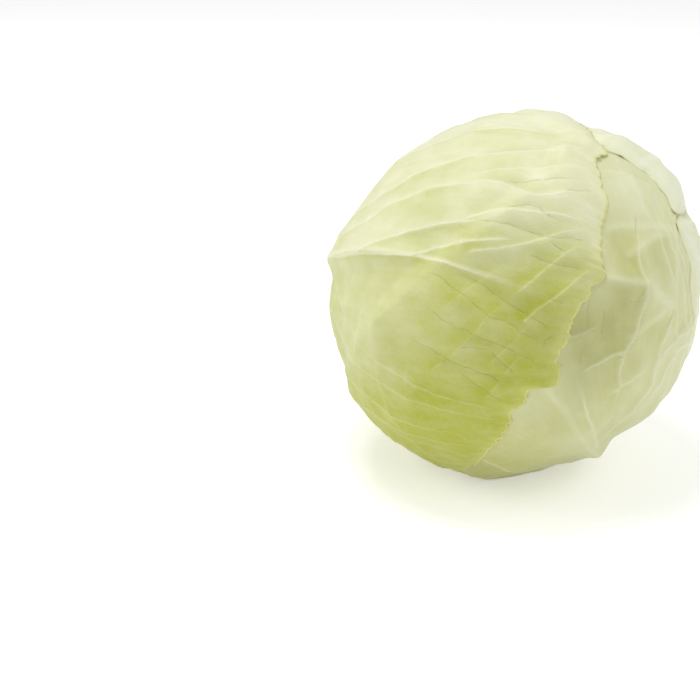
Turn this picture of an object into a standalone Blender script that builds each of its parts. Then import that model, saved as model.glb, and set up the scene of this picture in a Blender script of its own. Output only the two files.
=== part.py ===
"""A whole head of white cabbage that lies on its side, crown forward and tilted up, stalk at the back.

Six wrapper leaves drape over the packed inner leaves. Every leaf is a round blade laid on the head
in its own leaf chart: a runs along the midrib from base to tip and b across it, both in degrees of
arc round the head's centre. Lengths are in millimetres until the meshes are written in metres.
"""

import math
from dataclasses import dataclass

import bmesh
import bpy
import numpy as np

MM = 0.001
NAME = "white_cabbage"

# The head
HEAD_CENTRE = np.array([1.8, -1.35, 86.3])
HEAD_RADIUS = 82.6  # of the packed inner leaves, before the wrapper leaves
CROWN_AZIMUTH = math.radians(-4)
CROWN_ELEVATION = math.radians(25)
CROWN_STRETCH = 0.965  # along the stalk's line
LONG_STRETCH = 1.03  # along the long way of the head's face
LONG_CLOCK = math.radians(38)
SEAT_DEPTH = 74.0  # from the centre to the flat that the stalk stands on

# The leaves
BLADE = 1.2
GAP = 0.9
INNER_GAP = 1.4  # round the inner leaves, whose facets are the coarsest
DRAPE_START = 1.0  # degrees past a margin where the leaf above starts to come down
DRAPE_END = 8.0
RIB_BASE_HEIGHT = 5.0
RIB_BASE_WIDTH = 11.0
RIB_TIP_WIDTH = 5.0

# The stalk
STALK_RADIUS = 14.5
STALK_END = 93.0  # from the head's centre
STALK_SIDES = 28


def smooth(x):
    """0 below 0, 1 above 1 and a soft S between."""
    x = np.clip(x, 0.0, 1.0)
    return x * x * (3.0 - 2.0 * x)


def around(points, bearing):
    """The value at each bearing of a closed smooth curve through (bearing, value) points."""
    known = np.array(sorted(points), float)
    x, y = known[:, 0], known[:, 1]
    x = np.concatenate([x[-2:] - 360.0, x, x[:2] + 360.0])
    y = np.concatenate([y[-2:], y, y[:2]])
    slope = np.gradient(y, x)
    bearing = (np.asarray(bearing) - x[2]) % 360.0 + x[2]
    i = np.clip(np.searchsorted(x, bearing, side="right") - 1, 0, len(x) - 2)
    span = x[i + 1] - x[i]
    t = (bearing - x[i]) / span
    rise = y[i + 1] - y[i]
    start, end = slope[i] * span, slope[i + 1] * span
    return y[i] + t * (start + t * (3 * rise - 2 * start - end + t * (start + end - 2 * rise)))


def along(points, where):
    """The value at each place of an open soft curve through (place, value) points."""
    known = np.array(points, float)
    x, y = known[:, 0], known[:, 1]
    slope = np.gradient(y, x)
    where = np.clip(where, x[0], x[-1])
    i = np.clip(np.searchsorted(x, where, side="right") - 1, 0, len(x) - 2)
    span = x[i + 1] - x[i]
    t = (where - x[i]) / span
    rise = y[i + 1] - y[i]
    start, end = slope[i] * span, slope[i + 1] * span
    return y[i] + t * (start + t * (3 * rise - 2 * start - end + t * (start + end - 2 * rise)))


STALK_LINE = -np.array(
    [
        math.sin(CROWN_AZIMUTH) * math.cos(CROWN_ELEVATION),
        -math.cos(CROWN_AZIMUTH) * math.cos(CROWN_ELEVATION),
        math.sin(CROWN_ELEVATION),
    ]
)
FACE_UP = np.array([0.0, 0.0, 1.0]) + STALK_LINE * -STALK_LINE[2]
FACE_UP /= np.linalg.norm(FACE_UP)
FACE_RIGHT = np.cross(STALK_LINE, FACE_UP)


def polar(from_stalk, clock):
    """The direction at an angle from the stalk's line and a clock angle round the head's face."""
    outward = math.cos(clock) * FACE_RIGHT + math.sin(clock) * FACE_UP
    return math.cos(from_stalk) * STALK_LINE + math.sin(from_stalk) * outward


LONG_WAY = polar(math.pi / 2, LONG_CLOCK)
CROSS_WAY = polar(math.pi / 2, LONG_CLOCK + math.pi / 2)

# Broad bulges and hollows of the head: angle from the stalk, clock angle, height, radius in degrees
BULGES = (
    (70.0, -88.0, 3.0, 26.0),
    (96.0, -24.0, 2.6, 13.0),
    (95.0, -38.0, 3.0, 12.0),
    (96.0, -72.0, -1.8, 9.0),
    (101.0, 72.0, -1.8, 16.0),
    (143.0, -38.0, -2.6, 11.0),
    (134.0, 2.0, 1.6, 10.0),
)


def inner_radius(toward):
    """The radius of the packed inner leaves in each direction."""
    crown = (toward @ STALK_LINE) / CROWN_STRETCH
    long_way = (toward @ LONG_WAY) / LONG_STRETCH
    cross_way = (toward @ CROSS_WAY) * LONG_STRETCH
    radius = HEAD_RADIUS / np.sqrt(crown**2 + long_way**2 + cross_way**2)
    for from_stalk, clock, height, reach in BULGES:
        middle = polar(math.radians(from_stalk), math.radians(clock))
        angle = np.degrees(np.arccos(np.clip(toward @ middle, -1.0, 1.0)))
        radius = radius + height * np.exp(-((angle / reach) ** 2))
    seat = SEAT_DEPTH / np.clip(toward @ STALK_LINE, 0.05, 1.0)
    return np.minimum(radius, seat)


@dataclass(frozen=True)
class Fold:
    """A long soft ridge, or a crease when its height is below 0, through points of the leaf chart."""

    height: float
    width: float
    points: tuple

    def rise(self, a, b):
        best = np.full(np.shape(a), 1e9)
        path = np.array(self.points, float)
        for (a0, b0), (a1, b1) in zip(path[:-1], path[1:]):
            da, db = a1 - a0, b1 - b0
            t = np.clip(((a - a0) * da + (b - b0) * db) / (da * da + db * db), 0.0, 1.0)
            best = np.minimum(best, np.hypot(a - a0 - t * da, b - b0 - t * db))
        distance = best * math.radians(1) * 90.0
        return self.height * np.exp(-((distance / self.width) ** 2))


@dataclass(frozen=True)
class Leaf:
    """One wrapper leaf: where it sits, its outline, its midrib and how its margin waves."""

    name: str
    clock: float
    middle: float
    outline: tuple
    cells: int
    rib: tuple = ((-95.0, 0.0), (0.0, 0.0), (105.0, 0.0))
    rib_height: float = RIB_BASE_HEIGHT
    rib_end: float = 60.0
    waves: tuple = ()
    ruffle: float = 0.8
    rest_layers: int = 0
    folds: tuple = ()
    colour: tuple = (0.6, 0.62, 0.3)

    def axes(self):
        """The leaf's middle, the way along its midrib and the way across, as directions."""
        clock, middle = math.radians(self.clock), math.radians(self.middle)
        centre = polar(middle, clock)
        ahead = polar(middle + math.pi / 2, clock)
        return centre, ahead, np.cross(centre, ahead)

    def chart(self, toward):
        """The leaf chart's a, b, radius and bearing of each direction, in degrees."""
        centre, ahead, across = self.axes()
        radius = np.degrees(np.arccos(np.clip(toward @ centre, -1.0, 1.0)))
        bearing = np.degrees(np.arctan2(toward @ across, toward @ ahead))
        turn = np.radians(bearing)
        return radius * np.cos(turn), radius * np.sin(turn), radius, bearing

    def direction(self, a, b):
        """The direction at each place of the leaf chart."""
        centre, ahead, across = self.axes()
        radius = np.radians(np.hypot(a, b))[:, None]
        turn = np.arctan2(b, a)[:, None]
        outward = np.cos(turn) * ahead + np.sin(turn) * across
        return np.cos(radius) * centre + np.sin(radius) * outward

    def margin(self, bearing):
        """The radius of the leaf's waved margin at each bearing."""
        edge = around(self.outline, bearing)
        free = smooth((150.0 - np.abs(bearing)) / 40.0)
        for count, size, start in self.waves:
            edge = edge + free * size * np.sin(np.radians(count * bearing + start))
        return edge

    def relief(self, a, b, radius, bearing):
        """How far the blade's outside stands above its plain thickness: midrib, folds and ruffle."""
        fade = 1.0 - smooth((a + 80.0) / (self.rib_end + 80.0))
        width = RIB_TIP_WIDTH + (RIB_BASE_WIDTH - RIB_TIP_WIDTH) * smooth((20.0 - a) / 110.0)
        side = np.abs(b - along(self.rib, a)) * math.radians(1) * 90.0
        rise = self.rib_height * fade * np.exp(-((side / width) ** 2))
        for fold in self.folds:
            rise = rise + fold.rise(a, b)
        near = smooth(1.0 - (around(self.outline, bearing) - radius) / 14.0)
        free = smooth((140.0 - np.abs(bearing)) / 40.0)
        wave = 0.5 + 0.5 * np.sin(np.radians(9.0 * bearing + 40.0))
        return rise + self.ruffle * near * free * wave

    def cover(self, toward):
        """1 where the leaf lies under a direction, softly 0 away from its margin."""
        _, _, radius, bearing = self.chart(toward)
        past = radius - around(self.outline, bearing)
        return 1.0 - smooth((past - DRAPE_START) / (DRAPE_END - DRAPE_START))


def outline_of(base, widest, tip, left=None, right=None):
    """An even leaf outline from its reach at the base, the sides and the tip."""
    left = widest if left is None else left
    right = widest if right is None else right
    return (
        (0.0, tip),
        (45.0, 0.5 * (tip + left)),
        (90.0, left),
        (135.0, 0.5 * (left + base)),
        (165.0, base),
        (180.0, base),
        (-165.0, base),
        (-135.0, 0.5 * (right + base)),
        (-90.0, right),
        (-45.0, 0.5 * (tip + right)),
    )


def ridges(height, width, *routes):
    """Folds of one height and width along several routes of the leaf chart."""
    return tuple(Fold(height, width, route) for route in routes)


# Where the side veins of the two leaves in front stand out, and the ridges between their facets
LEFT_VEINS = ridges(
    1.3,
    6.0,
    ((30, 0), (49, 4), (66, 12), (92, 24)),
    ((-4, -1), (27, 5), (52, 14), (71, 20), (93, 26)),
    ((-14, -2), (25, 19), (49, 31), (70, 35), (84, 45)),
) + ridges(
    0.9,
    6.0,
    ((-32, -1), (18, 29), (43, 44), (62, 76)),
    ((-48, -1), (-4, 28), (34, 58), (54, 79)),
    ((-60, -1), (-28, 34), (14, 72), (26, 88)),
    ((57, -2), (74, 10), (94, 38)),
    ((80, -24), (94, -1), (103, 16)),
    ((-60, -1), (-36, -24), (0, -48)),
    ((-31, -1), (0, -26), (36, -50)),
)
LOWER_RIDGES = ridges(
    1.5,
    5.0,
    ((-1, -4), (29, -19), (42, -38), (54, -55), (56, -68)),
    ((3, -5), (17, -32), (31, -59), (33, -70)),
    ((67, -45), (55, -60), (34, -71)),
    ((60, -35), (44, -44), (28, -50)),
) + ridges(
    0.9,
    5.0,
    ((-50, 0), (-30, 24), (6, 48)),
    ((-22, 0), (8, 24), (44, 44)),
    ((-37, 0), (-14, -24), (8, -51)),
)

# From the innermost leaf to the outermost
LEAVES = (
    Leaf(
        name="wrapper_leaf_floor",
        clock=235.0,
        middle=96.0,
        outline=outline_of(base=83.5, widest=66.0, tip=70.0),
        cells=14,
        rib_height=4.0,
        rib_end=0.0,
        rest_layers=1,
        colour=(0.56, 0.58, 0.27),
    ),
    Leaf(
        name="wrapper_leaf_top",
        clock=103.0,
        middle=94.0,
        outline=outline_of(base=81.5, widest=64.0, tip=66.0),
        cells=14,
        rib_height=4.0,
        rib_end=-10.0,
        rest_layers=1,
        colour=(0.62, 0.64, 0.34),
    ),
    Leaf(
        name="wrapper_leaf_lower",
        clock=-60.0,
        middle=100.0,
        outline=(
            (0.0, 92.0),
            (30.0, 88.0),
            (60.0, 84.0),
            (90.0, 82.0),
            (130.0, 82.0),
            (165.0, 86.5),
            (180.0, 87.5),
            (-165.0, 86.5),
            (-130.0, 84.0),
            (-90.0, 95.0),
            (-60.0, 110.0),
            (-45.0, 112.0),
            (-25.0, 100.0),
        ),
        cells=30,
        rib=((-95.0, 0.0), (-30.0, -1.0), (2.0, -2.0), (26.0, -1.0), (44.0, 2.0), (95.0, 4.0)),
        rib_height=5.0,
        rib_end=95.0,
        rest_layers=0,
        folds=LOWER_RIDGES,
        colour=(0.55, 0.54, 0.31),
    ),
    Leaf(
        name="wrapper_leaf_upper",
        clock=47.0,
        middle=66.0,
        outline=(
            (-165.0, 53.5),
            (-135.0, 50.0),
            (-90.0, 46.0),
            (-50.0, 54.0),
            (-25.0, 60.0),
            (-10.0, 57.7),
            (1.0, 53.5),
            (13.0, 50.7),
            (23.0, 49.5),
            (30.0, 40.0),
            (40.0, 36.5),
            (70.0, 38.0),
            (90.0, 40.0),
            (135.0, 47.0),
            (165.0, 53.0),
            (180.0, 53.5),
        ),
        cells=20,
        rib_height=4.5,
        rib_end=40.0,
        waves=((7.0, 1.2, 20.0), (17.0, 0.6, 80.0)),
        ruffle=0.3,
        colour=(0.83, 0.85, 0.62),
    ),
    Leaf(
        name="wrapper_leaf_right",
        clock=-3.0,
        middle=56.0,
        outline=(
            (-165.0, 43.5),
            (-135.0, 41.0),
            (-90.0, 38.0),
            (-55.0, 40.0),
            (-30.0, 47.0),
            (-14.0, 54.0),
            (-2.0, 52.0),
            (8.0, 43.0),
            (25.0, 37.0),
            (50.0, 32.0),
            (90.0, 33.0),
            (135.0, 38.0),
            (165.0, 43.0),
            (180.0, 43.5),
        ),
        cells=13,
        rib_height=4.5,
        rib_end=30.0,
        waves=((6.0, 1.2, 10.0), (15.0, 0.6, 50.0)),
        ruffle=0.3,
        colour=(0.8, 0.82, 0.58),
    ),
    Leaf(
        name="wrapper_leaf_left",
        clock=172.0,
        middle=104.0,
        outline=(
            (0.0, 103.0),
            (13.0, 104.5),
            (21.0, 103.5),
            (33.0, 101.0),
            (45.0, 98.5),
            (60.0, 98.0),
            (90.0, 95.0),
            (125.0, 92.0),
            (165.0, 91.0),
            (180.0, 91.5),
            (-165.0, 90.0),
            (-135.0, 82.0),
            (-103.0, 79.0),
            (-85.0, 84.0),
            (-72.0, 86.0),
            (-50.0, 87.5),
            (-38.0, 88.0),
            (-31.0, 90.5),
            (-28.0, 97.5),
            (-22.0, 98.0),
            (-13.0, 98.5),
        ),
        cells=44,
        rib=((-95.0, 0.0), (-3.0, -2.0), (25.0, 0.0), (47.0, 1.0), (74.0, -2.0), (102.0, -10.0)),
        rib_height=7.0,
        rib_end=95.0,
        waves=((13.0, 0.8, 0.0), (29.0, 0.5, 60.0), (43.0, 0.5, 10.0)),
        ruffle=0.5,
        folds=LEFT_VEINS,
        colour=(0.6, 0.62, 0.3),
    ),
)


def base_radius(level, toward):
    """The radius of what lies under leaf number level, with its gap, in each direction."""
    radius = inner_radius(toward) + INNER_GAP
    for leaf in LEAVES[:level]:
        lift = BLADE + GAP + np.maximum(leaf.relief(*leaf.chart(toward)), 0.0)
        radius = radius + leaf.cover(toward) * lift
    return radius


def material(name, colour, roughness=0.45):
    made = bpy.data.materials.new(name)
    made.use_nodes = True
    shader = made.node_tree.nodes["Principled BSDF"]
    shader.inputs["Base Color"].default_value = (*colour, 1.0)
    shader.inputs["Roughness"].default_value = roughness
    made.diffuse_color = (*colour, 1.0)
    return made


def link(name, mesh, made, collection):
    """An object of the mesh, in the collection, with its material."""
    body = bpy.data.objects.new(name, mesh)
    mesh.materials.append(made)
    for polygon in mesh.polygons:
        polygon.use_smooth = True
    collection.objects.link(body)
    return body


def round_places(cells):
    """A square grid's points drawn out to a round: distance from the middle 0 to 1, and bearing."""
    bm = bmesh.new()
    bmesh.ops.create_grid(bm, x_segments=cells, y_segments=cells, size=1.0)
    flat = np.array([vertex.co[:] for vertex in bm.verts])
    x, y = flat[:, 0], flat[:, 1]
    reach = np.maximum(np.abs(x), np.abs(y))
    wide = np.abs(x) >= np.abs(y)
    ratio = np.where(wide, y / np.where(x == 0, 1, x), x / np.where(y == 0, 1, y))
    turn = np.where(wide, 0.25 * math.pi * ratio, 0.5 * math.pi - 0.25 * math.pi * ratio)
    turn = np.where(np.where(wide, x, y) < 0, turn + math.pi, turn)
    return bm, reach, np.degrees(turn)


def build_leaf(level, collection):
    """The leaf as one waved blade: a round grid laid on the head, given its thickness inwards."""
    leaf = LEAVES[level]
    bm, reach, turn = round_places(leaf.cells)
    bearing = (turn + 180.0) % 360.0 - 180.0
    radius = reach * leaf.margin(bearing)
    a = radius * np.cos(np.radians(bearing))
    b = radius * np.sin(np.radians(bearing))
    toward = leaf.direction(a, b)
    rise = leaf.relief(a, b, radius, bearing)
    thick = BLADE + np.maximum(rise - leaf.ruffle, 0.0)
    outside = base_radius(level, toward) + BLADE + rise
    points = HEAD_CENTRE + toward * outside[:, None]
    points[:, 2] = np.maximum(points[:, 2], leaf.rest_layers * (BLADE + GAP))
    for vertex, point in zip(bm.verts, points):
        vertex.co = point * MM
    bmesh.ops.recalc_face_normals(bm, faces=bm.faces)
    middle = bm.faces[:][len(bm.faces) // 2]
    centre = HEAD_CENTRE * MM
    if (np.array(middle.calc_center_median()) - centre) @ np.array(middle.normal) < 0:
        bmesh.ops.reverse_faces(bm, faces=bm.faces)
    mesh = bpy.data.meshes.new(leaf.name)
    bm.to_mesh(mesh)
    bm.free()
    body = link(leaf.name, mesh, material(leaf.name, leaf.colour), collection)
    most = float(thick.max())
    group = body.vertex_groups.new(name="thickness")
    for index, value in enumerate(thick):
        group.add([index], float(value) / most, "REPLACE")
    split = body.modifiers.new("split", "TRIANGULATE")
    split.quad_method = "SHORTEST_DIAGONAL"
    blade = body.modifiers.new("blade", "SOLIDIFY")
    blade.thickness = most * MM
    blade.offset = -1.0
    blade.vertex_group = group.name
    return body


def build_inner_leaves(collection):
    """The packed inner leaves, one solid under the wrapper leaves."""
    bm = bmesh.new()
    bmesh.ops.create_icosphere(bm, subdivisions=4, radius=1.0)
    toward = np.array([vertex.co.normalized()[:] for vertex in bm.verts])
    points = HEAD_CENTRE + toward * inner_radius(toward)[:, None]
    points[:, 2] = np.maximum(points[:, 2], 2 * (BLADE + GAP) + INNER_GAP - GAP)
    for vertex, point in zip(bm.verts, points):
        vertex.co = point * MM
    mesh = bpy.data.meshes.new("inner_leaves")
    bm.to_mesh(mesh)
    bm.free()
    return link("inner_leaves", mesh, material("inner_leaves", (0.74, 0.76, 0.45)), collection)


def build_stalk(collection):
    """The cut stalk, a short round stub that stands on the seat at the back of the head."""
    start = SEAT_DEPTH + GAP
    bm = bmesh.new()
    bmesh.ops.create_cone(
        bm,
        cap_ends=True,
        segments=STALK_SIDES,
        radius1=STALK_RADIUS * 0.94,
        radius2=STALK_RADIUS,
        depth=STALK_END - start,
    )
    for vertex in bm.verts:
        x, y, z = vertex.co
        turn = math.atan2(y, x)
        lobe = 1.0 + 0.03 * math.sin(5 * turn + 0.4) + 0.015 * math.sin(3 * turn)
        height = 0.5 * (start + STALK_END) + z
        place = HEAD_CENTRE + STALK_LINE * height + (FACE_UP * x + FACE_RIGHT * y) * lobe
        vertex.co = place * MM
    mesh = bpy.data.meshes.new("stalk")
    bm.to_mesh(mesh)
    bm.free()
    body = link("stalk", mesh, material("stalk", (0.8, 0.78, 0.56), 0.6), collection)
    rim = body.modifiers.new("rim", "BEVEL")
    rim.width = 1.2 * MM
    rim.segments = 2
    rim.limit_method = "ANGLE"
    rim.angle_limit = math.radians(50)
    return body


def main():
    for body in list(bpy.data.objects):
        bpy.data.objects.remove(body)
    collection = bpy.data.collections.new(NAME)
    bpy.context.scene.collection.children.link(collection)
    build_inner_leaves(collection)
    build_stalk(collection)
    for level in range(len(LEAVES)):
        build_leaf(level, collection)


main()
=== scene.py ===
"""The finished look of a whole head of white cabbage that lies on its side, crown forward.

Each wrapper leaf is one thin blade draped over the leaves under it. Its outline, midrib, side
veins, creases and the ridges that show through from below are lines of the leaf's own chart:
a runs from base to tip and b across, both in degrees of arc round the head's centre.
Lengths are in millimetres until a mesh is written in metres.
"""

import logging
import math
from dataclasses import dataclass, field, replace
from enum import Enum

import bmesh
import bpy
import numpy as np
from mathutils import Matrix


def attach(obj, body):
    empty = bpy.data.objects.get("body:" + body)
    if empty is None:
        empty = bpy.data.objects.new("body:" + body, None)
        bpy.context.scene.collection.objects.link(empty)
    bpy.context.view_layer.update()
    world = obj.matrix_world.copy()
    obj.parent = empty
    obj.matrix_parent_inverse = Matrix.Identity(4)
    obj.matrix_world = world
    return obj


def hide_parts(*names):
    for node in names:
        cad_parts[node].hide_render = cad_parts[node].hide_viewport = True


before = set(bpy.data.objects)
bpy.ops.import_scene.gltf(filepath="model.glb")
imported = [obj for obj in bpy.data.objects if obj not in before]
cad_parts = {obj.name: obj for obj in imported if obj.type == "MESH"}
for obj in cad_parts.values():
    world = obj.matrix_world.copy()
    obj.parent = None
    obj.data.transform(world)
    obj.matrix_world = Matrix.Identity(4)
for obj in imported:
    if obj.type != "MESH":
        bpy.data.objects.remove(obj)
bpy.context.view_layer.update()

LOG = logging.getLogger("white_cabbage")
MM = 0.001
ARC = math.radians(1.0)
MEAN_RADIUS = 89.0
ARC_MM = ARC * MEAN_RADIUS  # millimetres in one degree of arc on the head's outside
FAR = 99.0  # stands for no line, or no margin, near a place
UNMET = 9.9  # stands for no part of a line met so far, as a distance on a ball of radius 1
PATTERN = 100.0  # millimetres in one unit of the finishes' patterns
FAN = 60.0  # degrees in one unit of the streaks' length
SWELL_LENGTH = 34.0  # degrees from one swell of a blade to the next
FINE_WAVES = 60  # from this many round a leaf, its waves run over the drawn margin too
HUG = 9.0  # millimetres over which a blade comes down to hug what is below, near its margin
FIRM = 6.0  # millimetres inside its margin where a blade has its full thickness
CLEAR = 0.15  # millimetres that a blade keeps off the one below, away from its margin
CREASE_FADE = 1.2  # millimetres added to the reach where a crease has faded
CREST_FADE = 2.0  # the same where a crest has faded
FULL_CREST = 1.1  # the height in millimetres whose crest shows in full
FOLD_FADE = 1.1  # millimetres added along the whole of a fold
WHITE = (1.0, 1.0, 1.0, 1.0)

Array = np.ndarray
Socket = bpy.types.NodeSocket
Point = tuple[float, float]
Route = tuple[Point, ...]
Place = tuple[float, float, float]
Colour = tuple[float, ...]


def soft_step(x: Array) -> Array:
    """Gives 0 below 0, 1 above 1 and a soft S between.

    Args:
        x: Any values.

    Returns:
        The stepped values.
    """
    x = np.clip(x, 0.0, 1.0)
    return x * x * (3.0 - 2.0 * x)


def sine(degrees: Array) -> Array:
    """Gives the sine of angles in degrees."""
    return np.sin(np.radians(degrees))


def linear(*shades: int) -> Colour:
    """Turns 0 to 255 screen shades into the linear colour that a shader takes.

    Args:
        *shades: Red, green and blue as seen on a screen.

    Returns:
        Linear red, green, blue and an alpha of 1.
    """
    parts = [shade / 255.0 for shade in shades]
    return tuple(p / 12.92 if p <= 0.04045 else ((p + 0.055) / 1.055) ** 2.4 for p in parts) + (1.0,)


def calm_slopes(x: Array, y: Array) -> Array:
    """Finds slopes for a curve through points that never swings past them.

    Args:
        x: Places, rising.
        y: Values at the places.

    Returns:
        One slope for each point.
    """
    secant = np.diff(y) / np.diff(x)
    slope = np.zeros(len(y))
    before, after = secant[:-1], secant[1:]
    same = before * after > 0
    slope[1:-1] = np.where(same, 2 * before * after / np.where(same, before + after, 1.0), 0.0)
    slope[0], slope[-1] = secant[0], secant[-1]
    return slope


def curve_value(x: Array, y: Array, where: Array) -> Array:
    """Reads a soft curve through points.

    Args:
        x: Places, rising.
        y: Values at the places.
        where: Where to read the curve.

    Returns:
        The curve's value at each place asked for.
    """
    slope = calm_slopes(x, y)
    where = np.clip(where, x[0], x[-1])
    i = np.clip(np.searchsorted(x, where, side="right") - 1, 0, len(x) - 2)
    span = x[i + 1] - x[i]
    t = (where - x[i]) / span
    rise = y[i + 1] - y[i]
    start, end = slope[i] * span, slope[i + 1] * span
    return y[i] + t * (start + t * (3 * rise - 2 * start - end + t * (start + end - 2 * rise)))


def ripple(a: Array, b: Array, length: float, seed: int) -> Array:
    """Makes a smooth uneven swell from a few crossing waves.

    Args:
        a: Places along the leaf, in degrees.
        b: Places across the leaf, in degrees.
        length: The mean wavelength in degrees.
        seed: Which swell.

    Returns:
        Values of about -1 to 1.
    """
    draw = np.random.RandomState(seed)
    total = np.zeros(np.shape(a))
    for _ in range(7):
        turn, start = draw.uniform(0, 2 * math.pi, 2)
        pace = 2 * math.pi / (length * draw.uniform(0.7, 1.4))
        bend = 1.5 * np.sin(pace * 0.37 * (a * math.sin(turn) - b * math.cos(turn)) + start)
        total += np.sin(pace * (a * math.cos(turn) + b * math.sin(turn)) + start + bend)
    return total / 3.2


class LineKind(Enum):
    """What a line on a leaf is."""

    SIDE_VEIN = "side vein"
    SHOW_THROUGH = "ridge of a leaf below, showing through"
    FOLD = "fold without branches"
    BANK = "bank that falls away steeply below a sharp edge"
    # a crease's darkness is painted shade, over a shallow groove
    CREASE = "fine dark crease"


@dataclass(frozen=True)
class LeafLine:
    """One line drawn on a leaf by a few points of its chart."""

    kind: LineKind
    points: Route
    height: float  # in millimetres, below 0 where the line is a groove
    width: float  # half of it, in millimetres
    pale: float  # how pale the line is, 0 to 1
    fade_in: float = 0.15  # the share of its length over which it starts
    fade_out: float = 0.3
    lean: float = 0.0  # 1 where its left side is the steep one, -1 where its right side is
    kink: float = 0.0  # how unsteady the line is, in degrees
    foot: float = 0.0  # painted shade at the foot of the steep side, as extra green
    cast: float = 2.2  # how slowly that painted shade fades, in widths

    @property
    def crisp(self) -> bool:
        """Tells a line with a sharp crest from a soft ridge and a crease."""
        return bool(self.lean) and self.kind in (LineKind.SIDE_VEIN, LineKind.FOLD, LineKind.BANK)

    @property
    def lit_side(self) -> float:
        """Gives the side that catches the light, 1 for the left of the route and -1 for its right."""
        return -self.lean if self.kind is LineKind.BANK else self.lean

    def profile(self, side: Array) -> Array:
        """Gives the line's cross-section, 1 at its crest.

        Args:
            side: Signed distances from the line in millimetres.

        Returns:
            The height at each distance.
        """
        if not self.lean:
            core = np.exp(-((side / self.width) ** 2))
            return 0.7 * core + 0.3 * np.exp(-((side / (2.6 * self.width)) ** 2))
        steep = side * self.lean > 0.0
        if self.kind is LineKind.SHOW_THROUGH:
            spread = np.where(steep, 2.0, 3.0) * self.width
            return np.exp(-((np.sqrt(side**2 + 0.09) / spread) ** 1.15))
        short = np.exp(-((np.abs(side) / (0.9 * self.width)) ** 1.5))
        long = 0.5 + 0.5 * np.cos(math.pi * np.minimum(np.abs(side) / (4.5 * self.width), 1.0))
        return np.where(steep, short, long)

    def shadow(self, side: Array) -> Array:
        """Gives the painted shade in front of the line's steep side, as how much greener the blade is
        there.

        Args:
            side: Signed distances from the line in millimetres.

        Returns:
            The share at each distance.
        """
        front = side * math.copysign(1.0, self.lean) / self.width
        fading = np.exp(-np.maximum(front - 0.6, 0.0) / self.cast)
        return (0.16 * self.height + self.foot) * soft_step(front / 0.5) * fading

    def path(self, per_span: int = 5) -> Array:
        """Draws the line as a rounded path.

        Args:
            per_span: How many steps between two of the line's points.

        Returns:
            Chart places along the line, one row each.
        """
        known = np.array(self.points, float)
        if len(known) == 2:
            t = np.linspace(0, 1, per_span + 1)[:, None]
            return known[0] * (1 - t) + known[1] * t
        ends = np.vstack([2 * known[0] - known[1], known, 2 * known[-1] - known[-2]])
        t = np.linspace(0, 1, per_span, endpoint=False)[:, None]
        spans = [
            0.5 * (2 * p1 + (p2 - p0) * t + (2 * p0 - 5 * p1 + 4 * p2 - p3) * t**2
                   + (3 * p1 - p0 - 3 * p2 + p3) * t**3)
            for p0, p1, p2, p3 in zip(ends[:-3], ends[1:-2], ends[2:-1], ends[3:])
        ]
        path = np.vstack([*spans, known[-1:]])
        draw = np.random.RandomState(int(abs(known).sum() * 10.0) % 9973)
        return path + self.kink * draw.uniform(-1.0, 1.0, path.shape)


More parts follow.
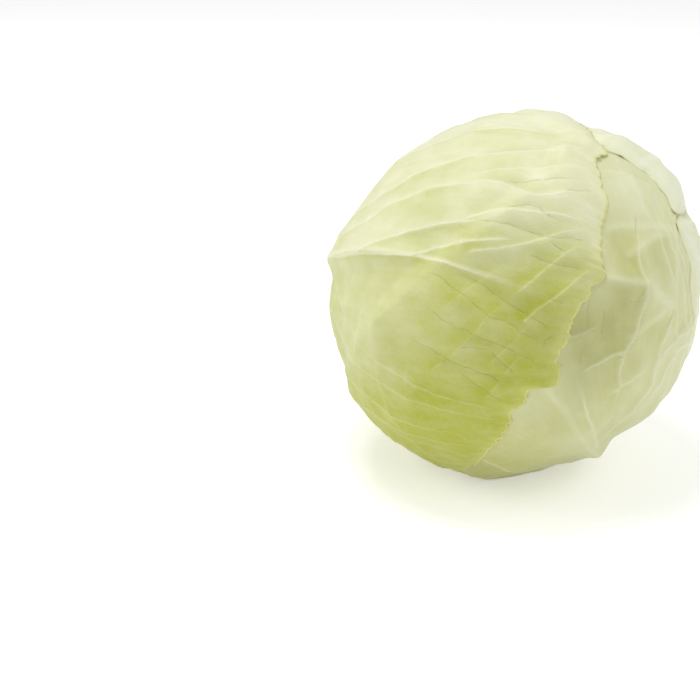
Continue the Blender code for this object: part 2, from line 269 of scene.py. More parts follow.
@dataclass(frozen=True)
class HeadForm:
    """The head's size, where it lies and the shape of its packed inner leaves."""

    centre: Place = (1.8, -1.35, 86.3)
    radius: float = 82.6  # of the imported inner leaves
    crown_azimuth: float = math.radians(-4)
    crown_elevation: float = math.radians(25)
    crown_stretch: float = 0.965  # along the stalk's line
    long_stretch: float = 1.03  # along the long way of the head's face
    long_clock: float = math.radians(38)
    seat_depth: float = 74.0  # from the centre to the flat that the stalk stands on
    gap: float = 0.9  # between two blades
    inner_gap: float = 1.4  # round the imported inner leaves
    bulges: tuple[tuple[float, ...], ...] = (  # from the stalk, clock, height, reach; angles in degrees
        (70.0, -88.0, 3.0, 26.0),
        (96.0, -24.0, 2.6, 13.0),
        (95.0, -38.0, 3.0, 12.0),
        (96.0, -72.0, -1.8, 9.0),
        (101.0, 72.0, -1.8, 16.0),
        (143.0, -38.0, -2.6, 11.0),
        (134.0, 2.0, 1.6, 10.0),
    )

    def stalk_line(self) -> Array:
        """Gives the direction from the head's centre out through the stalk."""
        level = math.cos(self.crown_elevation)
        right, ahead = math.sin(self.crown_azimuth) * level, math.cos(self.crown_azimuth) * level
        return np.array([-right, ahead, -math.sin(self.crown_elevation)])

    def face_axes(self) -> tuple[Array, Array]:
        """Gives the right and the up of the head's face, seen from the crown."""
        stalk = self.stalk_line()
        up = np.array([0.0, 0.0, 1.0]) - stalk * stalk[2]
        up /= np.linalg.norm(up)
        return np.cross(stalk, up), up

    def polar(self, from_stalk: float, clock: float) -> Array:
        """Gives the direction at an angle from the stalk and a clock angle round the face.

        Args:
            from_stalk: Radians from the stalk's line.
            clock: Radians round the face, from its right.

        Returns:
            A direction of length 1.
        """
        right, up = self.face_axes()
        outward = math.cos(clock) * right + math.sin(clock) * up
        return math.cos(from_stalk) * self.stalk_line() + math.sin(from_stalk) * outward

    def inner_radius(self, toward: Array) -> Array:
        """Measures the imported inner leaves.

        Args:
            toward: Directions from the head's centre, one row each.

        Returns:
            The radius in each direction.
        """
        quarter = math.pi / 2
        stalk = toward @ self.stalk_line()
        long_way = (toward @ self.polar(quarter, self.long_clock)) / self.long_stretch
        cross_way = (toward @ self.polar(quarter, self.long_clock + quarter)) * self.long_stretch
        radius = self.radius / np.sqrt((stalk / self.crown_stretch) ** 2 + long_way**2 + cross_way**2)
        for from_stalk, clock, height, reach in self.bulges:
            middle = self.polar(math.radians(from_stalk), math.radians(clock))
            angle = np.degrees(np.arccos(np.clip(toward @ middle, -1.0, 1.0)))
            radius = radius + height * np.exp(-((angle / reach) ** 2))
        return np.minimum(radius, self.seat_depth / np.clip(stalk, 0.05, 1.0))

    def place(self, toward: Array, radius: Array, floor: float = 0.0) -> Array:
        """Sets points on the head, none lower than a level over the surface it lies on.

        Args:
            toward: Directions from the centre.
            radius: How far out each point is.
            floor: The lowest level allowed.

        Returns:
            The points.
        """
        points = np.array(self.centre) + toward * radius[:, None]
        points[:, 2] = np.maximum(points[:, 2], floor)
        return points


HEAD = HeadForm()


@dataclass(frozen=True)
class LeafShape:
    """Where a wrapper leaf sits, its outline, midrib, waves and lines."""

    name: str
    clock: float  # the way to its middle round the head's face, in degrees
    middle: float  # how far its middle is from the stalk, in degrees
    outline: Route  # bearings and how far out the margin is, in degrees
    cells: int  # of its grid, each way
    rib: Route = ((-95.0, 0.0), (0.0, 0.0), (105.0, 0.0))
    rib_height: float = 5.0
    rib_end: float = 60.0  # where along the leaf it runs out
    rib_keel: float = 0.0  # how sharp its crest is, 0 to 1
    rib_pale_end: float = 60.0
    rib_pale: float = 0.7
    rib_edge: float = 0.0  # how crisp the midrib's edge towards -b is, 0 to 1, and how much painted shade lies below it
    waves: tuple[Place, ...] = ()  # of the margin: how many, degrees out, and where they start
    ruffle: float = 0.8
    rest_layers: int = 0  # how many blades lie between it and the floor
    lines: tuple[LeafLine, ...] = ()
    swell: float = 0.5
    drawn_margin: Point = (0.0, 0.0)  # the bearing and half width where waves are drawn
    seed: int = 1
    blade: float = 1.2  # the thickness, and at the margin the rim's
    rim: float = 0.75
    rib_base_width: float = 11.0
    rib_tip_width: float = 5.0
    drape: Point = (1.0, 8.0)  # degrees past the margin where a leaf above starts and ends to come down
    snug_drape: float = 1.6
    head: HeadForm = HEAD

    def axes(self) -> tuple[Array, Array, Array]:
        """Gives the leaf's middle, the way along its midrib and the way across."""
        clock, middle = math.radians(self.clock), math.radians(self.middle)
        centre = self.head.polar(middle, clock)
        ahead = self.head.polar(middle + math.pi / 2, clock)
        return centre, ahead, np.cross(centre, ahead)

    def chart(self, toward: Array) -> tuple[Array, ...]:
        """Reads directions in the leaf's chart.

        Args:
            toward: Directions from the head's centre.

        Returns:
            Places along, places across, radius and bearing, in degrees.
        """
        centre, ahead, across = self.axes()
        radius = np.degrees(np.arccos(np.clip(toward @ centre, -1.0, 1.0)))
        bearing = np.degrees(np.arctan2(toward @ across, toward @ ahead))
        turn = np.radians(bearing)
        return radius * np.cos(turn), radius * np.sin(turn), radius, bearing

    def direction(self, a: Array, b: Array) -> Array:
        """Gives the direction at each place of the chart.

        Args:
            a: Places along the leaf, in degrees.
            b: Places across the leaf, in degrees.

        Returns:
            Directions from the head's centre, one row each.
        """
        centre, ahead, across = self.axes()
        radius = np.radians(np.hypot(a, b))[:, None]
        turn = np.arctan2(b, a)[:, None]
        outward = np.cos(turn) * ahead + np.sin(turn) * across
        return np.cos(radius) * centre + np.sin(radius) * outward

    def plain_margin(self, bearing: Array) -> Array:
        """Gives the radius of the outline before its small waves, at each bearing."""
        known = np.array(sorted(self.outline), float)
        x = np.concatenate([known[-3:, 0] - 360.0, known[:, 0], known[:3, 0] + 360.0])
        y = np.concatenate([known[-3:, 1], known[:, 1], known[:3, 1]])
        return curve_value(x, y, (np.asarray(bearing) + 180.0) % 360.0 - 180.0)

    def margin(self, bearing: Array) -> Array:
        """Gives the radius of the waved margin at each bearing."""
        edge = self.plain_margin(bearing)
        free = soft_step((150.0 - np.abs(bearing)) / 40.0)
        middle, half = self.drawn_margin
        calm = 0.25 + 0.75 * soft_step((np.abs(bearing - middle) - half) / 8.0) if half else 1.0
        for count, size, start in self.waves:
            fine = count >= FINE_WAVES
            if fine:
                uneven = 0.5 + sine(17.0 * bearing + count) * sine(29.0 * bearing)
            else:
                uneven = 0.65 + 0.35 * sine(bearing * 3.1 + start * 2.0)
            bend = 9.0 * sine(bearing * 5.3 + start)
            share = free * (1.0 if fine else calm)
            edge = edge + share * uneven * size * sine(count * bearing + start + bend)
        return edge

    def rib_line(self, a: Array) -> Array:
        """Gives how far across the midrib lies at each place along the leaf."""
        known = np.array(self.rib, float)
        return curve_value(known[:, 0], known[:, 1], a)

    def rib_rise(self, a: Array, b: Array) -> Array:
        """Gives how far the midrib stands out at each place."""
        fade = 1.0 - soft_step((a + 80.0) / (self.rib_end + 80.0))
        spread = soft_step((20.0 - a) / 110.0)
        width = self.rib_tip_width + (self.rib_base_width - self.rib_tip_width) * spread
        side = np.abs(b - self.rib_line(a)) * ARC * 90.0 / width
        keel = np.exp(0.2 - np.sqrt(side**2 + 0.04) * 1.35)
        blunt = np.exp(-(side**2))
        return self.rib_height * fade * (blunt + self.rib_keel * (keel - blunt))

    def ruffle_rise(self, radius: Array, bearing: Array) -> Array:
        """Gives how far the waved margin lifts at each place."""
        near = soft_step(1.0 - (self.plain_margin(bearing) - radius) / 14.0)
        free = soft_step((140.0 - np.abs(bearing)) / 40.0)
        wave = 0.5 + 0.5 * sine(9.0 * bearing + 40.0)
        return self.ruffle * near * free * wave

    def cover(self, radius: Array, bearing: Array, snug: Array) -> Array:
        """Gives 1 where the leaf lies under a place, and softly 0 away from its margin.

        Args:
            radius: How far each place is from the leaf's middle, in degrees.
            bearing: Each place's bearing in degrees.
            snug: 1 where the leaf above hugs this one's margin, 0 where it comes down slowly.

        Returns:
            The cover.
        """
        past = radius - self.plain_margin(bearing)
        start = self.drape[0] * (1.0 - snug)
        run = self.drape[1] - self.drape[0]
        return 1.0 - soft_step((past - start) / (run + (self.snug_drape - run) * snug))


@dataclass
class LineField:
    """What a leaf's lines add at each of a set of places."""

    rise: Array
    pale: Array
    # green also carries the painted shade in front of the lines' steep sides
    green: Array
    crease_side: Array  # signed millimetres from the nearest crease
    crease_reach: Array  # the distance, longer where the crease fades
    crest_side: Array  # signed millimetres from the nearest sharp crest, above 0 on its lit side
    crest_reach: Array
    bank: Array  # 1 beside a bank, where painted shade lies at its foot

    @classmethod
    def empty(cls, count: int) -> "LineField":
        """Gives the field of a leaf without lines."""
        blank = [np.zeros(count) for _ in range(3)]
        far = [np.full(count, FAR) for _ in range(4)]
        return cls(*blank, *far, np.zeros(count))


@dataclass(frozen=True)
class LineReader:
    """Measures how near places on a leaf are to its lines."""

    leaf: LeafShape

    def nearest(self, toward: Array, knots: Array) -> tuple[Array, ...]:
        """Measures places against one line.

        Args:
            toward: Directions from the head's centre.
            knots: Directions of the line's own points, in order.

        Returns:
            Distance in millimetres, the same with the side's sign, and the share of the
            line's length at the nearest point.
        """
        best = np.full(len(toward), UNMET)
        side = np.full(len(toward), UNMET)
        share = np.zeros(len(toward))
        last = len(knots) - 1
        for i in range(last):
            step = knots[i + 1] - knots[i]
            from_knot = toward - knots[i]
            t = np.clip((from_knot @ step) / max(step @ step, 1e-12), 0.0, 1.0)
            away = np.linalg.norm(from_knot - t[:, None] * step, axis=1)
            closer = away < best
            turn = np.sign(toward @ np.cross(knots[i], knots[i + 1]))
            best = np.where(closer, away, best)
            side = np.where(closer, away * np.where(turn == 0, 1, turn), side)
            share = np.where(closer, (i + t) / last, share)
        return best * MEAN_RADIUS, side * MEAN_RADIUS, share

    def keep_nearest(self, sides: Array, reaches: Array, near: Array, side: Array, reach: Array) -> None:
        """Stores a line's distances wherever it is the nearest line so far.

        Args:
            sides: The signed distances kept so far.
            reaches: The reach kept so far, a distance that grows where a line fades.
            near: Which places the new distances are for.
            side: The new signed distances.
            reach: The new reach.
        """
        closer = reach < reaches[near]
        sides[near[closer]] = side[closer]
        reaches[near[closer]] = reach[closer]

    def add_line(self, found: LineField, line: LeafLine, toward: Array) -> None:
        """Adds one line to what was found so far.

        Args:
            found: The sum, which is changed.
            line: The line.
            toward: Directions from the head's centre.
        """
        path = line.path()
        knots = self.leaf.direction(path[:, 0], path[:, 1])
        middle = knots.mean(axis=0)
        span = np.linalg.norm(knots - middle, axis=1).max() + 8.0 * line.width / MEAN_RADIUS
        near = np.nonzero(np.linalg.norm(toward - middle, axis=1) < span)[0]
        if not len(near):
            return
        away, side, share = self.nearest(toward[near], knots)
        taper = soft_step(share / line.fade_in) if line.fade_in else np.ones(len(near))
        taper = taper * soft_step((1.0 - share) / line.fade_out)
        found.rise[near] += line.height * taper * line.profile(side)
        if line.kind is LineKind.CREASE:
            reach = away + (1.0 - taper) * CREASE_FADE
            self.keep_nearest(found.crease_side, found.crease_reach, near, side, reach)
        elif line.crisp:
            weak = CREST_FADE * (1.0 - taper * min(line.height / FULL_CREST, 1.0))
            weak = weak + (FOLD_FADE if line.kind is LineKind.FOLD else 0.0)
            self.keep_nearest(found.crest_side, found.crest_reach, near, side * line.lit_side, away + weak)
            # painted shade in front of the steep side, added to the greenness
            found.green[near] += taper * line.shadow(side)
            if line.kind is LineKind.BANK:
                found.bank[near] = np.maximum(found.bank[near], taper * soft_step((6.0 - away) / 2.0))
        # The pale band reaches less far on a line's unlit side, which paints light on its lit side.
        unlit = 0.3 if line.crisp else 0.7
        reach = np.where(side * line.lit_side < 0.0, unlit, 0.8) * line.width
        found.pale[near] = np.maximum(found.pale[near], line.pale * taper * np.exp(-((away / reach) ** 2)))

    def read(self, toward: Array) -> LineField:
        """Adds up every line of the leaf.

        Args:
            toward: Directions from the head's centre.

        Returns:
            What the lines add in each direction.
        """
        found = LineField.empty(len(toward))
        for line in self.leaf.lines:
            self.add_line(found, line, toward)
        return found


@dataclass(frozen=True)
class VeinRule:
    """How side veins leave a midrib where they are grown by rule and not drawn."""

    starts: tuple[float, ...]  # where along the midrib they leave it
    sides: tuple[int, ...] = (1, -1)
    leave: float = 50.0  # the angle to the midrib, in degrees
    straighten: float = 0.35
    height: float = 0.85
    width: float = 2.3
    pale: float = 0.4
    step: float = 6.0  # degrees between two points
    most_steps: int = 26
    stop: float = 4.0  # degrees inside the margin

    def grow(self, leaf: LeafShape) -> list[LeafLine]:
        """Grows the veins out to the leaf's margin.

        Args:
            leaf: The leaf they grow on.

        Returns:
            One line for each vein.
        """
        draw = np.random.RandomState(leaf.seed)
        veins = []
        for start in self.starts:
            for side in self.sides:
                leave = self.leave + draw.uniform(-6.0, 6.0)
                begin = start + draw.uniform(-3.5, 3.5)
                place = np.array([begin, float(leaf.rib_line(np.array([begin]))[0])])
                points = [tuple(place)]
                for count in range(self.most_steps):
                    heading = math.radians(leave * (1.0 - self.straighten * min(count / 12.0, 1.0)))
                    place = place + self.step * np.array([math.cos(heading), side * math.sin(heading)])
                    bearing = math.degrees(math.atan2(place[1], place[0]))
                    if math.hypot(*place) > float(leaf.plain_margin(np.array([bearing]))[0]) - self.stop:
                        break
                    points.append(tuple(place))
                if len(points) > 2:
                    height = self.height * draw.uniform(0.8, 1.1)
                    width = self.width * draw.uniform(0.85, 1.1)
                    looks = {"fade_in": 0.0, "lean": float(side), "kink": 0.3}
                    vein = LeafLine(LineKind.SIDE_VEIN, tuple(points), height, width, self.pale, **looks)
                    veins.append(vein)
        return veins


@dataclass(frozen=True)
class BranchRule:
    """How small veins leave the side veins, first on one side and then on the other."""

    spacing: float = 9.0  # along the side vein, in degrees
    length: float = 9.0
    leave: float = 42.0  # the angle to the side vein, in degrees
    height: float = 0.35
    width: float = 1.5
    pale: float = 0.16

    def grow(self, parents: list[LeafLine], seed: int) -> list[LeafLine]:
        """Grows small veins along each parent.

        Args:
            parents: The side veins that carry them.
            seed: Which draw of lengths and angles.

        Returns:
            One line for each small vein.
        """
        draw = np.random.RandomState(seed)
        found = []
        for parent in parents:
            path = parent.path(4)
            run = np.concatenate([[0.0], np.cumsum(np.hypot(*np.diff(path, axis=0).T))])
            side = 1 if draw.uniform() < 0.5 else -1
            place = self.spacing * draw.uniform(0.7, 1.3)
            while place < run[-1] - 5.0:
                start, ahead = (
                    np.array([np.interp(along, run, path[:, axis]) for axis in (0, 1)])
                    for along in (place, place + 1)
                )
                turn = side * math.radians(self.leave + draw.uniform(-9.0, 9.0))
                heading = math.atan2(*(ahead - start)[::-1]) + turn
                length = self.length * draw.uniform(0.6, 1.25)
                bend = -side * draw.uniform(0.1, 0.4)
                way = np.array([math.cos(heading), math.sin(heading)])
                later = np.array([math.cos(heading + bend), math.sin(heading + bend)])
                middle = start + way * length * 0.5
                end = middle + later * length * 0.5
                route = (tuple(start), tuple(middle), tuple(end))
                looks = {"fade_in": 0.0, "fade_out": 0.7}
                size = (self.height, self.width, self.pale)
                found.append(LeafLine(LineKind.SIDE_VEIN, route, *size, **looks))
                side = -side
                place += self.spacing * draw.uniform(0.6, 1.3)
        return found


@dataclass(frozen=True)
class Tint:
    """A soft patch of the leaf that is greener, or paler where the amount is below 0, with painted shade
    deepening its tone where its last value is above 0.
    """

    a: float
    b: float
    reach: float
    amount: float
    dusk: float = 0.0  # how strongly painted shade deepens its tone


def tints_at(*rows: tuple[float, ...]) -> tuple[Tint, ...]:
    """Makes tints from rows of their values."""
    return tuple(Tint(*row) for row in rows)


@dataclass
class Sketch:
    """A short way to lay out the nodes of one material."""

    tree: bpy.types.NodeTree

    def add(self, kind: str, **settings: object) -> bpy.types.Node:
        """Adds a node of a kind with its settings."""
        node = self.tree.nodes.new(kind)
        for key, value in settings.items():
            setattr(node, key, value)
        return node

    def feed(self, socket: Socket, value: object) -> None:
        """Links a socket to another one, or sets its value."""
        if isinstance(value, Socket):
            self.tree.links.new(value, socket)
        else:
            socket.default_value = value

    def fill(self, node: bpy.types.Node, values: dict[str, object]) -> None:
        """Links or sets several sockets of a node by their names."""
        for name, value in values.items():
            self.feed(node.inputs[name], value)

    def attribute(self, name: str, output: str = "Fac") -> Socket:
        """Reads an attribute of the piece."""
        return self.add("ShaderNodeAttribute", attribute_name=name).outputs[output]

    def maths(self, operation: str, first: object, second: object = 0.0) -> Socket:
        """Works out one sum, kept between 0 and 1 where the name ends in _CLAMP."""
        node = self.add("ShaderNodeMath", operation=operation.removesuffix("_CLAMP"))
        node.use_clamp = operation.endswith("_CLAMP")
        self.feed(node.inputs[0], first)
        self.feed(node.inputs[1], second)
        return node.outputs[0]

    def times(self, first: object, second: object) -> Socket:
        """Multiplies two values."""
        return self.maths("MULTIPLY", first, second)

    def plus(self, first: object, second: object) -> Socket:
        """Adds two values."""
        return self.maths("ADD", first, second)

    def swing(self, noise: Socket, size: float) -> Socket:
        """Centres a noise of 0 to 1 on 0 and gives it a size."""
        return self.times(self.maths("SUBTRACT", noise, 0.5), size)

    def fade(
        self, value: object, start: float, end: float, low: float = 0.0, high: float = 1.0
    ) -> Socket:
        """Turns a run of values into a soft step.

        Args:
            value: What to read.
            start: Where the step starts.
            end: Where it ends.
            low: The result before the start.
            high: The result past the end.

        Returns:
            The stepped value.
        """
        node = self.add("ShaderNodeMapRange", interpolation_type="SMOOTHSTEP", clamp=True)
        for socket, given in zip(node.inputs, (value, start, end, low, high)):
            self.feed(socket, given)
        return node.outputs[0]

    def fall(self, value: object, start: float, end: float, high: float = 1.0) -> Socket:
        """Turns a run of values into a soft step down to 0."""
        return self.fade(value, start, end, high, 0.0)

    def noise(self, place: object, scale: float, detail: float = 2.0, rough: float = 0.5) -> Socket:
        """Makes an even noise of 0 to 1.

        Args:
            place: The coordinates to read it on.
            scale: How many swells to one unit of the coordinates.
            detail: How many finer layers.
            rough: How strong the finer layers are.

        Returns:
            The noise.
        """
        node = self.add("ShaderNodeTexNoise")
        self.fill(node, {"Vector": place, "Scale": scale, "Detail": detail, "Roughness": rough})
        return node.outputs["Fac"]

    def stretched(self, place: object, along: float, across: float) -> Socket:
        """Scales coordinates unevenly, for a pattern that runs one way."""
        node = self.add("ShaderNodeMapping")
        self.fill(node, {"Vector": place, "Scale": (along, across, 1.0)})
        return node.outputs["Vector"]

    def net(self, place: object, scale: float, width: float) -> Socket:
        """Draws the walls of uneven cells, as in a leaf's net of fine veins."""
        node = self.add("ShaderNodeTexVoronoi", feature="DISTANCE_TO_EDGE")
        self.fill(node, {"Vector": place, "Scale": scale})
        return self.fall(node.outputs["Distance"], 0.0, width)

    def blend(self, factor: object, first: object, second: object) -> Socket:
        """Mixes two colours."""
        node = self.add("ShaderNodeMix", data_type="RGBA")
        self.feed(node.inputs["Factor"], factor)
        self.feed(node.inputs[6], first)
        self.feed(node.inputs[7], second)
        return node.outputs[2]

    def where_seen(self, otherwise: float, seen: float) -> Socket:
        """Gives one value to what the camera sees and another to the light that falls on things."""
        ray = self.add("ShaderNodeLightPath").outputs["Is Camera Ray"]
        return self.fade(ray, 0.0, 1.0, otherwise, seen)

    def roughen(self, shader: bpy.types.Node, height: Socket, strength: float, depth: float) -> None:
        """Gives a shader fine relief.

        Args:
            shader: The shader.
            height: The relief, 0 to 1.
            strength: How strongly it shows.
            depth: What a height of 1 is in millimetres.
        """
        bump = self.add("ShaderNodeBump")
        self.fill(bump, {"Strength": strength, "Distance": depth * MM, "Height": height})
        self.feed(shader.inputs["Normal"], bump.outputs["Normal"])


def fresh_material(name: str) -> tuple[bpy.types.Material, Sketch, bpy.types.Node]:
    """Starts a node material with one plain shader.

    Args:
        name: The material's name.

    Returns:
        The material, its sketch and its shader node.
    """
    material = bpy.data.materials.new(name)
    material.use_nodes = True
    return material, Sketch(material.node_tree), material.node_tree.nodes["Principled BSDF"]


@dataclass(frozen=True)
class LeafFinish:
    """The waxy blade of a cabbage leaf: pale veins, greener skin, a light rim and fine creases, with
    painted shade in the creases, in deeper patches and at the foot of crests and banks, and painted
    highlights on the lit side of the crests.
    """

    name: str
    pale: Colour
    green: Colour
    vein: Colour
    rim: Colour
    # crease is the dark colour of the painted shade in the creases, and of the darker lifted margin
    crease: Colour
    # shade is the deep colour that painted shade brings a patch towards
    shade: Colour = (0.3, 0.3, 0.07, 1.0)
    rough: float = 0.46
    bloom: float = 0.12

    def rim_mask(self, sketch: Sketch, patchy: Socket) -> Socket:
        """Shows the light rim, strong at the margin itself and faint beside it."""
        ragged = sketch.plus(sketch.attribute("edge"), sketch.swing(patchy, 1.6))
        strong, faint = sketch.fall(ragged, 0.7, 1.5, 0.8), sketch.fall(ragged, 0.0, 7.0, 0.25)
        return sketch.maths("MAXIMUM", strong, faint)

    def crease_mask(self, sketch: Sketch, place: Socket) -> Socket:
        """Shows the creases as thin broken lines of painted shade.

        Args:
            sketch: The material's sketch.
            place: Where a point is on the leaf.

        Returns:
            The mask.
        """
        wiggle = sketch.swing(sketch.noise(place, scale=20.0), 1.5)
        side = sketch.maths("ABSOLUTE", sketch.plus(sketch.attribute("crease_side"), wiggle))
        there = sketch.fall(sketch.attribute("crease_reach"), 0.7, 1.7)
        broken = sketch.fade(sketch.noise(place, scale=21.0), 0.36, 0.6, low=0.4, high=1.0)
        return sketch.times(sketch.times(sketch.fall(side, 0.04, 0.42), there), broken)

    def crest_masks(self, sketch: Sketch, place: Socket) -> tuple[Socket, Socket]:
        """Gives the painted highlight on the lit side of the sharp crests and the painted shade at the foot
        of the banks under them.

        Args:
            sketch: The material's sketch.
            place: Where a point is on the leaf.

        Returns:
            Both masks.
        """
        bend = sketch.swing(sketch.noise(place, scale=14.0), 1.2)
        lit = sketch.plus(sketch.attribute("crest_side"), bend)
        strong = sketch.fall(sketch.attribute("crest_reach"), 0.8, 3.0)
        above = sketch.fade(lit, -0.35, 0.1)
        crest = sketch.times(sketch.times(sketch.fall(lit, 0.3, 2.0), above), strong)
        foot = sketch.times(sketch.fade(lit, -2.8, -0.4), sketch.maths("SUBTRACT", 1.0, above))
        return crest, sketch.times(sketch.times(foot, strong), sketch.attribute("bank"))

    def material(self) -> bpy.types.Material:
        """Builds the material.

        Returns:
            A material that reads the leaf's own attributes.
        """
        material, sketch, shader = fresh_material(self.name)
        place = sketch.attribute("leaf_place", "Vector")
        fan = sketch.attribute("fan_place", "Vector")
        body = sketch.add("ShaderNodeTexCoord").outputs["Object"]
        mottle = sketch.noise(body, scale=34.0, detail=3.0, rough=0.55)
        patchy = sketch.noise(place, scale=9.0)
        drawn_out = sketch.stretched(fan, along=1.6, across=26.0)
        streak = sketch.noise(drawn_out, scale=1.0, detail=3.0, rough=0.6)
        net = sketch.net(place, scale=17.0, width=0.07)
        fine_net = sketch.net(place, scale=44.0, width=0.09)
        crease = self.crease_mask(sketch, place)
        crest, under = self.crest_masks(sketch, place)
        greener = sketch.plus(sketch.attribute("green"), sketch.swing(mottle, 0.42))
        greener = sketch.plus(greener, sketch.swing(patchy, 0.34))
        greener = sketch.maths("ADD_CLAMP", greener, sketch.swing(streak, 0.3))
        lifted_dark = sketch.fade(sketch.noise(place, scale=60.0), 0.45, 0.62)
        colour = sketch.blend(greener, self.pale, self.green)
        for mask, shade in (
            (sketch.times(net, 0.05), self.vein),
            (sketch.times(fine_net, 0.03), self.vein),
            (sketch.attribute("pale"), self.vein),
            # painted shade: patches deepened towards the shade colour
            (sketch.attribute("dusk"), self.shade),
            (self.rim_mask(sketch, patchy), self.rim),
            # the margin darkened towards the crease colour where it is lifted, in patches
            (sketch.times(sketch.attribute("bruise"), lifted_dark), self.crease),
            # painted shade in the creases
            (sketch.times(crease, 0.3), self.crease),
            # painted highlight on the lit side of the crests
            (sketch.times(crest, 0.4), self.vein),
            # painted shade, as green, at the foot of the banks
            (sketch.times(under, 0.2), self.green),
        ):
            colour = sketch.blend(mask, colour, shade)
        height = sketch.times(net, 0.2)
        for layer, size in (
            (fine_net, 0.08),
            (streak, 0.55),
            (sketch.noise(place, scale=150.0), 0.12),
            (crease, -0.9),
            (crest, 0.8),
        ):
            height = sketch.plus(height, sketch.times(layer, size))
        sketch.roughen(shader, height, strength=0.5, depth=0.35)
        rough = sketch.fade(mottle, 0.2, 0.8, low=self.rough - 0.05, high=self.rough + 0.07)
        looks = {
            "Base Color": colour,
            "Roughness": rough,
            "Specular IOR Level": 0.35,
            "Sheen Weight": self.bloom,
            "Sheen Roughness": 0.5,
            "Subsurface Weight": 0.12,
            "Subsurface Radius": (1.0, 1.0, 0.35),
            "Subsurface Scale": 2.5 * MM,
        }
        sketch.fill(shader, looks)
        return material


@dataclass(frozen=True)
class StalkFinish:
    """The cut stalk: a pale green skin and a dry creamy cut face with a ring of fibres."""

    name: str = "stalk"
    skin: Colour = linear(206, 208, 150)
    flesh: Colour = linear(236, 230, 196)
    ring: Colour = linear(206, 196, 140)
    dry: Colour = linear(176, 148, 98)

    def material(self) -> bpy.types.Material:
        """Builds the material.

        Returns:
            A material that reads how far out on the cut face a point is.
        """
        material, sketch, shader = fresh_material(self.name)
        body = sketch.add("ShaderNodeTexCoord").outputs["Object"]
        out = sketch.attribute("cut_out")
        face = sketch.attribute("cut_face")
        fibre = sketch.noise(sketch.attribute("fibre_place", "Vector"), scale=1.0, detail=3.0, rough=0.6)
        cloudy = sketch.noise(body, scale=160.0, detail=3.0)
        wavy = sketch.plus(out, sketch.swing(cloudy, 0.12))
        ring = sketch.times(sketch.fade(wavy, 0.58, 0.7), sketch.fall(wavy, 0.72, 0.84))
        dry = sketch.times(sketch.fade(wavy, 0.84, 1.0), sketch.fade(cloudy, 0.3, 0.7, low=0.35, high=0.9))
        spots = sketch.times(sketch.fade(sketch.noise(body, scale=420.0), 0.6, 0.72), 0.45)
        flesh = sketch.blend(sketch.times(fibre, 0.5), self.flesh, self.ring)
        for mask, shade in ((ring, self.ring), (dry, self.dry), (spots, self.dry)):
            flesh = sketch.blend(mask, flesh, shade)
        skin = sketch.blend(cloudy, self.skin, self.flesh)
        sketch.feed(shader.inputs["Base Color"], sketch.blend(face, skin, flesh))
        sketch.feed(shader.inputs["Roughness"], sketch.fade(cloudy, 0.2, 0.8, 0.55, 0.75))
        height = sketch.plus(fibre, sketch.times(cloudy, 0.6))
        sketch.roughen(shader, height, strength=0.6, depth=0.4)
        return material


def paint(mesh: bpy.types.Mesh, **values: Array) -> None:
    """Stores numbers or vectors for the points of a mesh.

    Args:
        mesh: The mesh.
        **values: The attributes, with one value or one row of three for each point.
    """
    for name, given in values.items():
        flat = given.ndim == 1
        layer = mesh.attributes.new(name, "FLOAT" if flat else "FLOAT_VECTOR", "POINT")
        layer.data.foreach_set("value" if flat else "vector", given.astype(np.float32).ravel())


def paint_leaf(mesh: bpy.types.Mesh, lines: LineField, finish: LeafFinish, **values: Array) -> None:
    """Stores what a leaf's finish reads and gives the mesh its material.

    Args:
        mesh: The mesh.
        lines: The leaf's lines.
        finish: The finish.
        **values: The attributes that aren't the lines' own.
    """
    names = ("crease_side", "crease_reach", "crest_side", "crest_reach", "bank")
    paint(mesh, **values, **{name: getattr(lines, name) for name in names})
    mesh.materials.append(finish.material())


def move_points(bm: bmesh.types.BMesh, points: Array) -> None:
    """Moves a mesh's points to places given in millimetres."""
    for vertex, point in zip(bm.verts, points):
        vertex.co = point * MM


def add_piece(name: str, bm: bmesh.types.BMesh, node: str) -> bpy.types.Object:
    """Makes a finished bmesh into a piece that stands for a node.

    Args:
        name: The piece's name.
        bm: Its mesh, which is freed.
        node: The node that it replaces.

    Returns:
        The object.
    """
    mesh = bpy.data.meshes.new(name)
    bm.to_mesh(mesh)
    bm.free()
    mesh.shade_smooth()
    piece = bpy.data.objects.new(name, mesh)
    bpy.context.scene.collection.objects.link(piece)
    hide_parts(node)
    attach(piece, "root")
    return piece


def round_grid(cells: int) -> tuple[bmesh.types.BMesh, Array, Array]:
    """Starts a round blade from a square grid.

    Args:
        cells: How many cells the grid has each way.

    Returns:
        The bmesh, each point's distance from the middle, 0 to 1, and its bearing in degrees.
    """
    bm = bmesh.new()
    bmesh.ops.create_grid(bm, x_segments=cells, y_segments=cells, size=1.0)
    flat = np.array([vertex.co[:] for vertex in bm.verts])
    x, y = flat[:, 0], flat[:, 1]
    reach = np.maximum(np.abs(x), np.abs(y))
    wide = np.abs(x) >= np.abs(y)
    ratio = np.where(wide, y / np.where(x == 0, 1, x), x / np.where(y == 0, 1, y))
    turn = np.where(wide, 0.25 * math.pi * ratio, 0.5 * math.pi - 0.25 * math.pi * ratio)
    turn = np.where(np.where(wide, x, y) < 0, turn + math.pi, turn)
    return bm, reach, (np.degrees(turn) + 180.0) % 360.0 - 180.0


@dataclass
class Reading:
    """What a leaf that is already laid gives at a set of places."""

    radius: Array  # degrees from the leaf's middle
    bearing: Array
    edge: Array  # millimetres inside the leaf's margin
    rise: Array
    shown: Array  # the part of the rise that the leaves above take over


